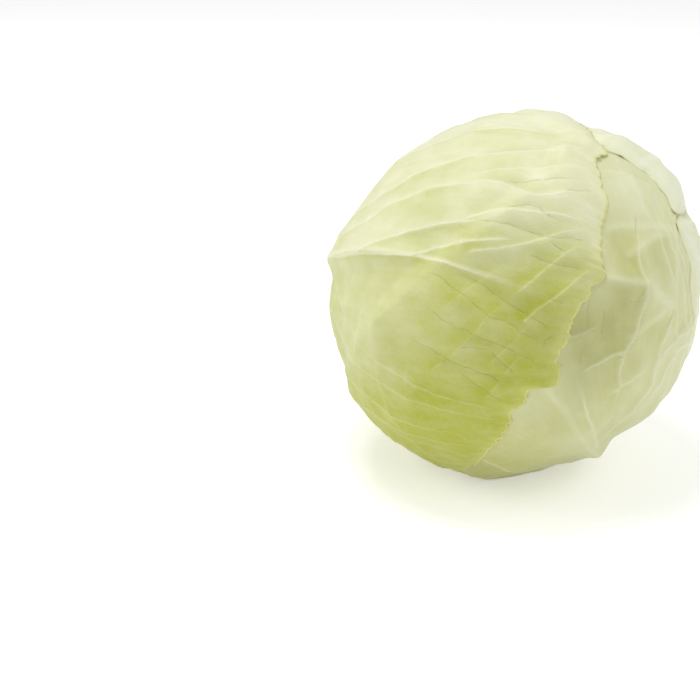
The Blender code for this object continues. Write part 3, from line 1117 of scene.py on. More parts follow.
@dataclass
class WrapperLeaf:
    """One wrapper leaf of the head, from its lines to its dressed blade."""

    shape: LeafShape
    finish: LeafFinish
    veins: VeinRule | None = None
    branches: BranchRule = BranchRule()
    tints: tuple[Tint, ...] = ()
    green: Route = ((-90.0, 0.35), (90.0, 0.35))  # places across, amounts
    hold: float = -0.24  # how far the margin keeps off the leaf below, in millimetres
    lifted: tuple[Place, ...] = ()  # bearing, half width, millimetres further off
    lifted_dark: float = 0.0  # how much darker the margin is where it is lifted
    show_through: float = 0.6
    fan_from: Point = (-88.0, 0.0)  # where the streaks of the blade start
    broad_reader: LineReader = field(init=False)
    full_reader: LineReader = field(init=False)

    def __post_init__(self) -> None:
        """Grows the lines that aren't drawn and keeps readers for the broad ones and for all."""
        broad = self.shape.lines + tuple(self.veins.grow(self.shape) if self.veins else ())
        parents = [line for line in broad if line.kind is LineKind.SIDE_VEIN]
        small = tuple(self.branches.grow(parents, self.shape.seed + 40))
        raised = tuple(line for line in broad if line.kind is not LineKind.CREASE)
        self.broad_reader = LineReader(replace(self.shape, lines=raised))
        self.full_reader = LineReader(replace(self.shape, lines=broad + small))

    def plain_rise(self, a: Array, b: Array) -> Array:
        """Gives the midrib and the broad uneven swell of the blade."""
        shape = self.shape
        return shape.rib_rise(a, b) + shape.swell * ripple(a, b, SWELL_LENGTH, shape.seed)

    def read(self, toward: Array) -> Reading:
        """Reads the leaf where another one lies over it.

        Args:
            toward: Directions from the head's centre.

        Returns:
            The leaf's place, margin and rise there.
        """
        shape = self.shape
        a, b, radius, bearing = shape.chart(toward)
        rise = self.plain_rise(a, b) + shape.ruffle_rise(radius, bearing)
        lines = self.broad_reader.read(toward).rise
        edge = (shape.margin(bearing) - radius) * ARC_MM
        return Reading(radius, bearing, edge, rise + lines, rise + self.show_through * lines)

    def lift(self, reading: Reading, snug: Array) -> Array:
        """Measures what the leaf adds to the head for the leaves over it.

        Args:
            reading: The leaf at the places asked for.
            snug: How closely the leaf above hugs this one's margin, 0 to 1.

        Returns:
            The lift in millimetres, softly 0 away from the leaf.
        """
        full = self.shape.blade + self.shape.head.gap + np.maximum(reading.shown, 0.0)
        return self.shape.cover(reading.radius, reading.bearing, snug) * full

    def snug(self, edge: Array) -> Array:
        """Gives how closely the leaf hugs what is below, 1 at its margin."""
        return soft_step(1.2 - edge / HUG)

    def firm(self, edge: Array) -> Array:
        """Gives the blade's thickness away from its midrib."""
        return self.shape.rim + (self.shape.blade - self.shape.rim) * soft_step(edge / FIRM)

    def keep_off(self, edge: Array, bearing: Array) -> Array:
        """Gives how far the blade keeps off the leaf below, nearly 0 at its margin."""
        margin = self.hold + self.lift_off(bearing)
        return margin + (CLEAR - margin) * soft_step(edge / FIRM)

    def lift_off(self, bearing: Array) -> Array:
        """Gives how much further the margin keeps off where it is lifted, in millimetres."""
        off = np.zeros(len(bearing))
        for middle, half, size in self.lifted:
            off = np.maximum(off, size * np.exp(-(((bearing - middle) / half) ** 4)))
        return off

    def outside(self, edge: Array, bearing: Array, rise: Array, soft: Array, hard: Array) -> Array:
        """Measures the leaf's outer face.

        Args:
            edge: Millimetres inside the leaf's margin.
            bearing: Each place's bearing in degrees.
            rise: What the leaf's own form adds.
            soft: The stack below with its gaps, smoothed over the margins.
            hard: The outermost face below.

        Returns:
            The radius of the outer face.
        """
        free = soft + self.shape.blade + rise
        lowest = hard + self.firm(edge) + self.keep_off(edge, bearing)
        hugging = lowest + 0.6 * np.maximum(rise, 0.0)
        return np.maximum(free + (hugging - free) * self.snug(edge), lowest)

    def build(self, below: "LeafStack") -> bpy.types.Object:
        """Lays the blade on what is below and dresses it.

        Args:
            below: The inner leaves and the leaves under this one.

        Returns:
            The piece.
        """
        shape = self.shape
        bm, reach, bearing = round_grid(shape.cells)
        radius = reach * shape.margin(bearing)
        a = radius * np.cos(np.radians(bearing))
        b = radius * sine(bearing)
        toward = shape.direction(a, b)
        lines = self.full_reader.read(toward)
        edge = (1.0 - reach) * shape.margin(bearing) * ARC_MM
        rise = self.plain_rise(a, b) + shape.ruffle_rise(radius, bearing) + lines.rise
        outside = self.outside(edge, bearing, rise, *below.measure(toward, self.snug(edge)))
        floor = shape.rest_layers * (shape.blade + shape.head.gap)
        points = shape.head.place(toward, outside, floor)
        move_points(bm, points)
        self.face_outwards(bm)
        piece = add_piece(f"{shape.name}_blade", bm, shape.name)
        self.thicken(piece, self.firm(edge) + np.maximum(shape.rib_rise(a, b) - 0.3, 0.0))
        self.dress(piece, a, b, edge, bearing, lines)
        return piece

    def face_outwards(self, bm: bmesh.types.BMesh) -> None:
        """Turns the blade's faces away from the head's centre."""
        bmesh.ops.recalc_face_normals(bm, faces=bm.faces)
        bm.faces.ensure_lookup_table()
        middle = bm.faces[len(bm.faces) // 2]
        outward = np.array(middle.calc_center_median()) - np.array(self.shape.head.centre) * MM
        if outward @ np.array(middle.normal) < 0:
            bmesh.ops.reverse_faces(bm, faces=bm.faces)

    def thicken(self, piece: bpy.types.Object, thick: Array) -> None:
        """Gives the blade its thickness inwards.

        Args:
            piece: The leaf.
            thick: The thickness at each point in millimetres.
        """
        most = float(thick.max())
        group = piece.vertex_groups.new(name="thickness")
        for index, value in enumerate(thick / most):
            group.add([index], float(value), "REPLACE")
        blade = piece.modifiers.new("blade", "SOLIDIFY")
        blade.thickness = most * MM
        blade.offset = -1.0
        blade.vertex_group = group.name

    def tint(self, a: Array, b: Array, green: Array) -> tuple[Array, Array]:
        """Adds the tints.

        Args:
            a: Each point's place along the leaf.
            b: Each point's place across it.
            green: How green each point is without them.

        Returns:
            The greenness, and how strongly painted shade deepens the tone.
        """
        dusk = np.zeros(len(a))
        for tint in self.tints:
            patch = np.exp(-((np.hypot(a - tint.a, b - tint.b) / tint.reach) ** 2))
            green = green + tint.amount * patch
            dusk = np.maximum(dusk, tint.dusk * patch)
        return green, dusk

    def dress(
        self, piece: bpy.types.Object, a: Array, b: Array, edge: Array, bearing: Array, lines: LineField
    ) -> None:
        """Stores what the finish reads and gives the leaf its material.

        Args:
            piece: The leaf.
            a: Each point's place along the leaf.
            b: Each point's place across it.
            edge: Each point's distance from the margin in millimetres.
            bearing: Each point's bearing in degrees.
            lines: What the leaf's lines add.
        """
        shape = self.shape
        known = np.array(self.green, float)
        green, dusk = self.tint(a, b, curve_value(known[:, 0], known[:, 1], b) + lines.green)
        signed = (b - shape.rib_line(a)) * ARC_MM
        side = np.abs(signed)
        # Below the midrib's crisp edge the blade is painted greener as painted shade, and its paleness is
        # cut there.
        past = shape.rib_edge * soft_step((1.0 - signed) / 2.0)
        green += 0.1 * past * np.exp(-side / 11.0) * (1.0 - soft_step((a - 30.0) / 50.0))
        along = 1.0 - soft_step((a - shape.rib_pale_end + 15.0) / 30.0)
        broad = np.minimum(0.85 * (shape.rib_rise(a, b) / shape.rib_height), 0.6) * shape.rib_pale * along
        core = shape.rib_pale * np.exp(-((side / 2.0) ** 2)) * along
        pale = np.maximum.reduce([lines.pale * 0.85, broad, core])
        pale = np.maximum(pale * (1.0 - 0.8 * past), 0.85 * soft_step((-52.0 - a) / 34.0))
        bruise = self.lifted_dark * (1.0 - soft_step(edge / 2.0)) * np.minimum(self.lift_off(bearing), 1.0)
        from_a, from_b = a - self.fan_from[0], b - self.fan_from[1]
        far, turn = np.hypot(from_a, from_b) / FAN, np.arctan2(from_b, from_a)
        nothing = np.zeros(len(a))
        paint_leaf(
            piece.data,
            lines,
            self.finish,
            green=green,
            dusk=dusk,
            pale=np.clip(pale, 0.0, 0.95),
            edge=edge,
            bruise=bruise,
            leaf_place=np.stack([a, b, nothing], axis=1) * (ARC_MM / PATTERN),
            fan_place=np.stack([far, turn, nothing], axis=1),
        )


@dataclass
class LeafStack:
    """What a leaf lies on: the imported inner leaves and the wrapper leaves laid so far."""

    head: HeadForm
    laid: list[WrapperLeaf] = field(default_factory=list)

    def soft_radius(self, bare: Array, readings: list[Reading], snug: Array) -> Array:
        """Adds the leaves read so far, with the gaps between them.

        Args:
            bare: The radius of the inner leaves.
            readings: The leaves from the innermost out.
            snug: How closely the next leaf hugs the margins below it, 0 to 1.

        Returns:
            The radius that the next leaf's inner face has away from its margin.
        """
        lifts = [leaf.lift(reading, snug) for leaf, reading in zip(self.laid, readings)]
        return bare + self.head.inner_gap + sum(lifts)

    def measure(self, toward: Array, snug: Array) -> tuple[Array, Array]:
        """Measures what the next leaf lies on.

        Args:
            toward: Directions from the head's centre.
            snug: How closely the next leaf hugs the margins below it, 0 to 1.

        Returns:
            The smoothed radius with its gaps, and the radius of the outermost face below.
        """
        bare = self.head.inner_radius(toward)
        hard = bare
        readings = []
        for leaf in self.laid:
            reading = leaf.read(toward)
            soft = self.soft_radius(bare, readings, leaf.snug(reading.edge))
            outer = leaf.outside(reading.edge, reading.bearing, reading.rise, soft, hard)
            there = soft_step((reading.edge + 1.0) / 1.5)
            hard = hard + there * np.maximum(outer - hard, 0.0)
            readings.append(reading)
        return self.soft_radius(bare, readings, snug), hard

    def lay(self, leaf: WrapperLeaf) -> bpy.types.Object:
        """Builds the next leaf and adds it to the stack."""
        piece = leaf.build(self)
        self.laid.append(leaf)
        return piece


@dataclass(frozen=True)
class InnerLeaves:
    """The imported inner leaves, one firm ball under the wrapper leaves."""

    head: HeadForm
    finish: LeafFinish
    node: str = "inner_leaves"
    subdivisions: int = 6
    floor: float = 4.7  # the lowest level that the ball reaches down to
    fold_depth: float = 1.4

    def build(self) -> bpy.types.Object:
        """Builds the ball with the edges of its outermost inner leaves.

        Returns:
            The piece.
        """
        bm = bmesh.new()
        bmesh.ops.create_icosphere(bm, subdivisions=self.subdivisions, radius=1.0)
        toward = np.array([vertex.co.normalized()[:] for vertex in bm.verts])
        stalk = self.head.stalk_line()
        right, up = self.head.face_axes()
        clock = np.arctan2(toward @ up, toward @ right)
        from_stalk = np.degrees(np.arccos(np.clip(toward @ stalk, -1.0, 1.0)))
        fold = np.sin(3.0 * clock + 0.03 * from_stalk + 0.5 * np.sin(0.05 * from_stalk + 2.0))
        step = self.fold_depth * soft_step(0.5 + 2.5 * fold) - self.fold_depth
        points = self.head.place(toward, self.head.inner_radius(toward) + step, self.floor)
        move_points(bm, points)
        piece = add_piece("packed_inner_leaves", bm, self.node)
        nothing = np.zeros(len(toward))
        vein = np.abs(np.sin(9.0 * clock + 0.02 * from_stalk)) ** 14
        paint_leaf(
            piece.data,
            LineField.empty(len(toward)),
            self.finish,
            green=np.full(len(toward), 0.3),
            dusk=nothing,
            pale=0.5 * vein,
            edge=np.full(len(toward), FAR),
            bruise=nothing,
            leaf_place=toward * MEAN_RADIUS / PATTERN,
            fan_place=np.stack([from_stalk / FAN, clock, nothing], axis=1),
        )
        return piece


@dataclass(frozen=True)
class CutStalk:
    """The short cut stalk at the back of the head."""

    head: HeadForm
    finish: StalkFinish = StalkFinish()
    node: str = "stalk"
    radius: float = 14.5
    end: float = 93.0  # from the head's centre to the cut face
    sides: int = 96
    rings: int = 12
    face_rings: int = 9
    edge_round: float = 1.3

    def build(self) -> bpy.types.Object:
        """Builds the stub with its knife-cut face.

        Returns:
            The piece.
        """
        start = self.head.seat_depth + self.head.gap
        depth = self.end - start
        bm = bmesh.new()
        foot = self.radius * 0.94
        bmesh.ops.create_cone(
            bm, cap_ends=True, segments=self.sides, radius1=foot, radius2=self.radius, depth=depth
        )
        upright = [edge for edge in bm.edges if abs(edge.verts[0].co.z - edge.verts[1].co.z) > 0.5 * depth]
        bmesh.ops.subdivide_edges(bm, edges=upright, cuts=self.rings, use_grid_fill=True)
        cap = max(bm.faces, key=lambda face: face.calc_center_median().z)
        for _ in range(self.face_rings):
            bmesh.ops.inset_region(bm, faces=[cap], thickness=self.radius * 0.92 / self.face_rings / 1.05)
        flat = np.array([vertex.co[:] for vertex in bm.verts])
        out = np.hypot(flat[:, 0], flat[:, 1]) / self.radius
        turn = np.arctan2(flat[:, 1], flat[:, 0])
        high = flat[:, 2] + 0.5 * depth
        on_face = (high > depth - 0.01).astype(float)
        lobe = 1.0 + 0.03 * np.sin(5 * turn + 0.4) + 0.015 * np.sin(3 * turn)
        scar = 0.035 * np.sin(2 * turn + 0.75 * high) * (1.0 - on_face)
        near_cut = soft_step((high - depth + 1.6) / 1.6)
        tapered = 1.0 - self.edge_round / self.radius * near_cut * (1.0 - 0.2 * on_face)
        hollow = on_face * (0.5 * soft_step(1.0 - out / 0.5) + 0.25 * np.sin(14 * turn) * out * (1.0 - out))
        ridge = on_face * 0.3 * np.exp(-(((out - 0.68) / 0.08) ** 2))
        stalk = self.head.stalk_line()
        right, up = self.head.face_axes()
        level = start + high - hollow + ridge
        wide = flat[:, :2] * (lobe + scar)[:, None] * tapered[:, None]
        centre = np.array(self.head.centre)
        points = centre + stalk * level[:, None] + up * wide[:, :1] + right * wide[:, 1:]
        move_points(bm, points)
        piece = add_piece("cut_stalk", bm, self.node)
        fibre_place = np.stack([out * 2.0, turn * 9.0, high * 0.1], axis=1)
        paint(piece.data, cut_out=np.minimum(out * 1.05, 1.0), cut_face=on_face, fibre_place=fibre_place)
        piece.data.materials.append(self.finish.material())
        return piece


def drawn(kind: LineKind, *routes: Route, **looks: float) -> tuple[LeafLine, ...]:
    """Makes several lines of one kind and size.

    Args:
        kind: What the lines are.
        *routes: The points of each line on the leaf's chart.
        **looks: The height, the half width and the other fields that the lines share.

    Returns:
        The lines.
    """
    return tuple(LeafLine(kind, route, **looks) for route in routes)


def moved(lines: tuple[LeafLine, ...], along: float, across: float) -> tuple[LeafLine, ...]:
    """Moves lines on the chart.

    Args:
        lines: The lines.
        along: How far they move towards the tip, in degrees.
        across: How far they move across the leaf.

    Returns:
        The moved lines.
    """
    shifted = [tuple((a + along, b + across) for a, b in line.points) for line in lines]
    return tuple(replace(line, points=points) for line, points in zip(lines, shifted))


def even_outline(base: float, widest: float, tip: float) -> Route:
    """Gives an even leaf outline from its reach at the base, the sides and the tip."""
    side_to_tip, side_to_base = 0.5 * (tip + widest), 0.5 * (widest + base)
    half = ((45.0, side_to_tip), (90.0, widest), (135.0, side_to_base), (165.0, base))
    return ((0.0, tip), *half, (180.0, base), *((-bearing, reach) for bearing, reach in half))


UPPER_FINISH = LeafFinish(
    name="upper_leaf_skin",
    pale=(0.84, 0.86, 0.65, 1.0),
    green=(0.66, 0.69, 0.27, 1.0),
    vein=(0.88, 0.88, 0.7, 1.0),
    rim=(0.7, 0.71, 0.34, 1.0),
    crease=(0.26, 0.28, 0.07, 1.0),
)
LEFT_FINISH = LeafFinish(
    name="left_leaf_skin",
    pale=(0.855, 0.86, 0.612, 1.0),
    green=(0.463, 0.489, 0.05, 1.0),
    vein=(0.88, 0.875, 0.68, 1.0),
    rim=(0.77, 0.75, 0.27, 1.0),
    crease=(0.28, 0.28, 0.04, 1.0),
)
LOWER_FINISH = LeafFinish(
    name="lower_leaf_skin",
    pale=(0.83, 0.845, 0.62, 1.0),
    green=(0.57, 0.575, 0.2, 1.0),
    vein=(0.83, 0.85, 0.6, 1.0),
    rim=(0.7, 0.71, 0.34, 1.0),
    crease=(0.36, 0.36, 0.14, 1.0),
)
INNER_FINISH = LeafFinish(
    name="inner_leaf_skin",
    pale=(0.88, 0.88, 0.62, 1.0),
    green=(0.74, 0.76, 0.34, 1.0),
    vein=(0.9, 0.89, 0.7, 1.0),
    rim=(0.76, 0.77, 0.4, 1.0),
    crease=(0.4, 0.4, 0.16, 1.0),
)

FLOOR_LEAF = WrapperLeaf(
    LeafShape(
        name="wrapper_leaf_floor",
        clock=235.0,
        middle=96.0,
        outline=even_outline(83.5, 66.0, 70.0),
        cells=120,
        rib_height=4.0,
        rib_end=0.0,
        rest_layers=1,
        seed=3,
    ),
    LOWER_FINISH,
    VeinRule((-78.0, -66.0, -54.0, -41.0, -27.0, -12.0, 4.0, 20.0, 36.0)),
    green=((-90.0, 0.6), (90.0, 0.6)),
)
TOP_LEAF = WrapperLeaf(
    LeafShape(
        name="wrapper_leaf_top",
        clock=103.0,
        middle=94.0,
        outline=even_outline(81.5, 64.0, 66.0),
        cells=120,
        rib_height=4.0,
        rib_end=-10.0,
        rest_layers=1,
        drape=(0.5, 14.0),
        seed=5,
    ),
    UPPER_FINISH,
    VeinRule((-76.0, -64.0, -52.0, -39.0, -25.0, -10.0, 6.0, 22.0)),
)

LOWER_VEINS = (
    drawn(
        LineKind.SIDE_VEIN,
        ((56, -64), (55, -56), (53, -50), (49, -47), (45, -44), (43, -40), (41, -36), (39, -33),
         (37, -28), (36, -25), (33, -22), (28, -19), (20, -14), (3, -6)),
        ((37, -27), (39, -23), (40, -19), (41, -14), (41, -10)),
        height=1.1, width=2.4, pale=0.3, lean=-1.0, kink=0.2,
    )
    + drawn(
        LineKind.SIDE_VEIN,
        ((27, -49), (27, -45), (26, -41), (24, -37), (21, -34), (18, -31), (14, -28), (12, -22),
         (9, -18), (3, -11)),
        ((3, -55), (9, -51), (15, -47), (19, -42), (22, -37), (21, -34)),
        ((-4, -51), (9, -45), (13, -41), (13, -36), (11, -32), (10, -27), (8, -20)),
        height=1.0, width=2.6, pale=0.45, lean=-1.0, kink=0.2,
    )
    + drawn(
        LineKind.SIDE_VEIN,
        ((2, -60), (10, -54), (18, -45)),
        ((28, -14), (28, -21), (26, -25), (23, -31)),
        ((6, -7), (10, -15), (10, -20)),
        ((1, -3), (20, -5), (31, -6), (37, -8)),
        height=0.7, width=2.0, pale=0.4, lean=-1.0, kink=0.2,
    )
)
LOWER_FOLDS = (
    drawn(
        LineKind.SHOW_THROUGH,
        ((61, -34), (57, -36), (51, -40), (46, -44), (41, -45), (36, -46), (27, -49), (20, -52)),
        height=2.3, width=2.6, pale=0.7, lean=1.0,
    )
    + drawn(
        LineKind.SHOW_THROUGH,
        ((67, -46), (64, -51), (59, -56), (48, -64), (41, -68), (34, -71), (26, -73)),
        ((56, -45), (54, -50), (48, -59), (43, -64), (34, -70)),
        ((28, -82), (31, -75), (32, -67), (31, -60), (29, -54), (28, -49)),
        ((38, -27), (37, -32), (35, -37), (32, -43), (29, -48)),
        height=0.8, width=2.4, pale=0.5, lean=1.0,
    )
    + drawn(
        LineKind.FOLD,
        ((73, -67), (67, -72), (62, -75), (53, -78), (45, -80), (37, -80)),
        ((54, -8), (52, -13), (51, -16), (50, -20), (49, -25)),
        height=0.9, width=2.0, pale=0.35, lean=1.0, kink=0.2,
    )
)
LOWER_CREASES = drawn(
    LineKind.CREASE,
    ((56, -62), (55, -57), (53, -51)),
    ((59, -25), (56, -22), (52, -19), (49, -15)),
    ((53, -28), (48, -24), (46, -21)),
    ((47, -14), (42, -10)),
    ((46, -43), (44, -39), (43, -35)),
    ((47, -36), (45, -38), (45, -40)),
    ((27, -48), (26, -45), (26, -42)),
    height=-0.35, width=1.4, pale=0.0, kink=0.3,
)
LOWER_LEAF = WrapperLeaf(
    LeafShape(
        name="wrapper_leaf_lower",
        clock=-60.0,
        middle=100.0,
        outline=(
            (0, 92), (30, 88), (60, 84), (90, 82), (130, 82), (165, 86.5), (180, 87.5), (-165, 86.5),
            (-130, 84), (-90, 95), (-60, 110), (-45, 112), (-25, 100),
        ),
        cells=190,
        rib=((-95, 0), (-30, -1), (-9, -1), (10, 0), (22, 1), (32, 1), (40, 3), (95, 4)),
        rib_height=5.0,
        rib_end=95.0,
        rib_keel=0.9,
        rib_pale=0.35,
        seed=7,
        lines=moved(LOWER_VEINS, -2.0, 1.4) + LOWER_FOLDS + LOWER_CREASES,
    ),
    LOWER_FINISH,
    VeinRule((-76.0, -64.0, -51.0, -37.0, -22.0)),
    # Most of these tints are painted shade in the hollow beside the left leaf's margin: greener, and deeper
    # by their last value.
    tints=tints_at(
        (47, -14, 9, 0.05, 0.5), (29, 4, 12, 0.1, 0.12), (53, -15, 10, 0.15, 0.48),
        (46, -24, 10, 0.15, 0.43), (48, -34, 8, 0.2, 0.34), (39, -12, 11, 0.05, 0.3),
        (31, -24, 7, 0.2, 0.14), (59, -50, 8, 0.25, 0.06), (43, -56, 9, 0.25, 0.1),
        (53, -44, 6, 0.2, 0.05), (32, -36, 7, 0.2, 0.1), (26, -16, 8, 0.1, 0.1), (5, 35, 28, 0.55, 0.12),
        (62, -72, 12, -0.2),
    ),
    green=((-90.0, 0.5), (90.0, 0.5)),
    fan_from=(-8.0, 0.0),
)
UPPER_LEAF = WrapperLeaf(
    LeafShape(
        name="wrapper_leaf_upper",
        clock=47.0,
        middle=66.0,
        outline=(
            (-165, 53.5), (-135, 50), (-90, 46), (-50, 53), (-25, 58), (-10.3, 56.6), (-7.9, 55.0),
            (-3.4, 52.8), (-0.9, 52.1), (1.7, 50.4), (5.9, 48.6), (12.3, 48.8), (15.8, 48.0), (18, 48.2),
            (23, 49.5), (26, 46), (31, 39), (40, 36.5), (70, 38), (90, 40), (135, 47), (165, 53),
            (180, 53.5),
        ),
        cells=130,
        rib_height=4.5,
        rib_end=40.0,
        waves=((7, 1.0, 20), (17, 0.5, 80), (61, 0.35, 10)),
        drawn_margin=(5.0, 25.0),
        rim=0.4,
        ruffle=0.3,
        seed=11,
    ),
    UPPER_FINISH,
    VeinRule((-46.0, -34.0, -21.0, -8.0, 6.0, 20.0, 33.0)),
    lifted=((-6.2, 1.0, 0.45), (24.0, 2.4, 0.7)),
    lifted_dark=0.5,
    green=((-90.0, 0.14), (90.0, 0.1)),
    fan_from=(-60.0, 0.0),
)
RIGHT_LEAF = WrapperLeaf(
    LeafShape(
        name="wrapper_leaf_right",
        clock=-3.0,
        middle=56.0,
        outline=(
            (-165, 43.5), (-135, 41), (-90, 38), (-60, 41), (-42, 50), (-35, 58), (-28.4, 62.8),
            (-26, 63), (-24.1, 60.3), (-21.2, 58.5), (-19.1, 56.7), (-16.6, 54.4), (-14.1, 54),
            (-8.6, 54.2), (-3.3, 50.4), (1, 45), (6, 41), (15, 38.5), (28, 36), (50, 32), (90, 33),
            (135, 38), (165, 43), (180, 43.5),
        ),
        cells=110,
        rib_height=4.5,
        rib_end=30.0,
        waves=((6, 1.0, 10), (15, 0.5, 50), (61, 0.35, 30)),
        drawn_margin=(-12.0, 25.0),
        rim=0.4,
        ruffle=0.3,
        seed=13,
    ),
    UPPER_FINISH,
    VeinRule((-37.0, -26.0, -14.0, -2.0, 11.0, 24.0)),
    lifted=((-27.0, 1.2, 0.4),),
    lifted_dark=0.5,
    green=((-90.0, 0.2), (90.0, 0.12)),
    fan_from=(-55.0, 0.0),
)

LEFT_VEINS = (
    drawn(
        LineKind.SIDE_VEIN,
        ((58, 17), (61.3, 19), (64.8, 21.7), (69, 24.6), (73.2, 26.4), (78, 28.9), (83, 31.5), (88, 33),
         (94, 37)),
        ((54, 32), (59, 34), (65, 35), (73, 35), (79, 41), (84, 51)),
        ((60, 7), (66, 10), (71, 12), (76, 15)),
        ((46, 43), (51, 48), (58, 56), (63, 65), (68, 72)),
        height=0.9, width=2.2, pale=0.3, lean=1.0, kink=0.15,
    )
    + drawn(
        LineKind.SIDE_VEIN,
        ((51, 33), (55, 39), (58, 42), (62, 46), (69, 51), (74, 56), (76, 61)),
        height=0.42, width=2.0, pale=0.25, lean=1.0, kink=0.15,
    )
)
LEFT_BANKS = (
    drawn(
        LineKind.BANK,
        ((21, -1.4), (28.5, 0.4), (32.7, 2.9), (37.7, 5.9), (42.8, 8.7), (47.7, 10.8), (51.2, 12.9),
         (54.7, 14.6), (60.8, 16.9), (65, 19), (70, 22)),
        ((45, 1), (50.6, 2.6), (53.2, 4.7), (56.8, 6.3), (60.2, 8.2), (63.9, 10.1), (70, 12)),
        height=0.6, width=2.3, pale=0.3, lean=-1.0, kink=0.12, foot=0.14, cast=3.4,
    )
    + drawn(
        LineKind.BANK,
        ((-14, -2), (8, 5), (22.3, 12.2), (26, 15.5), (30.6, 18.2), (36.8, 21.6), (41.8, 25.5),
         (47.5, 28.7), (53.8, 31.3), (60, 33)),
        ((-32, -1), (-8, 8), (14, 17), (26.2, 24.3), (31, 30), (35.4, 33.2), (39, 36.8), (43.4, 42.5),
         (47.4, 43.8), (53, 50)),
        ((-48, -1), (-30, 12), (-4, 28), (21, 44), (34, 58), (46, 67), (54, 79)),
        ((-60, -1), (-48, 14), (-28, 34), (-6, 54), (14, 72), (26, 88)),
        height=0.32, width=2.3, pale=0.3, lean=-1.0, kink=0.12, foot=0.15, cast=4.0,
    )
    + drawn(
        LineKind.BANK,
        ((-6, -1.8), (11.5, -2.2), (20, -1.8), (27.5, -1.1), (37.3, -0.3), (45.4, 0.5), (52, 0.6),
         (57.2, 0.5), (62.4, -0.3), (70.4, -1.9), (80, -4)),
        height=0.8, width=2.4, pale=0.35, lean=-1.0, foot=-0.08,
    )
)
LEFT_CREASES = drawn(
    LineKind.CREASE,
    ((82, 11), (87, 10), (91, 10), (95, 11), (99, 11)),
    ((62, 17.5), (68.3, 19), (74.7, 19.9), (80.3, 20.4), (85, 21), (91, 24.4), (97.4, 26.1)),
    ((68, 25), (75.2, 30.9), (79.4, 29.9), (86.8, 28.9)),
    ((62.6, 36.5), (68.7, 42.4), (77, 50.4)),
    ((85.6, 19.2), (90.8, 17)),
    ((79, 42.9), (83.8, 49.8)),
    ((90, -6), (95, -7)),
    ((62, -2), (71, -5), (76, -9), (82, -13), (85, -15), (89, -18), (91, -21), (93, -22)),
    ((50, -2), (58, -5), (67, -11), (71, -14), (74, -17), (78, -18), (82, -22), (86, -25), (87, -25)),
    ((52, -14), (59, -19), (65, -22), (70, -25), (74, -27), (78, -29), (82, -33), (85, -36), (88, -39)),
    ((61, -28), (70, -29), (72, -30), (74, -34), (76, -38), (78, -41)),
    ((47, -26), (54, -30), (61, -35), (67, -39), (70, -41), (72, -45), (74, -48)),
    ((60, -37), (64, -45), (67, -50), (68, -52)),
    ((87, -30), (90, -25), (93, -22)),
    height=-0.4, width=1.2, pale=0.0, kink=0.4,
)
LEFT_FOLDS = (
    drawn(
        LineKind.FOLD,
        ((64, 4), (66, 6), (70.1, 7.8), (75.2, 10.9), (81.3, 16.3), (85.4, 21.7), (90.6, 29.2),
         (94, 35.3)),
        height=1.0, width=1.8, pale=0.25, lean=1.0, kink=0.15, foot=0.05,
    )
    + drawn(
        LineKind.FOLD,
        ((79.5, -8), (82.5, -4.3), (85.7, 1.6), (88.8, 9.1), (91, 14.7), (93.2, 21.1), (95.6, 28.3)),
        ((82.5, -19), (83.9, -17.1), (89.5, -9.4), (92.8, -4.4), (97.7, 5.8), (99.8, 11.7), (102, 17)),
        height=0.95, width=2.1, pale=0.06, lean=1.0, kink=0.15, foot=0.03, cast=2.8,
    )
    + drawn(
        LineKind.FOLD,
        ((58, -18), (69, -5), (76, 4)),
        ((68, -25), (72.8, -17.3), (75.6, -14), (78.6, -10.5)),
        ((70, -36), (78, -28), (88, -14)),
        ((50, -38), (60, -32), (72, -20)),
        ((62, -52), (72, -42), (84, -28)),
        height=0.6, width=2.4, pale=0.03, lean=1.0, kink=0.15,
    )
)
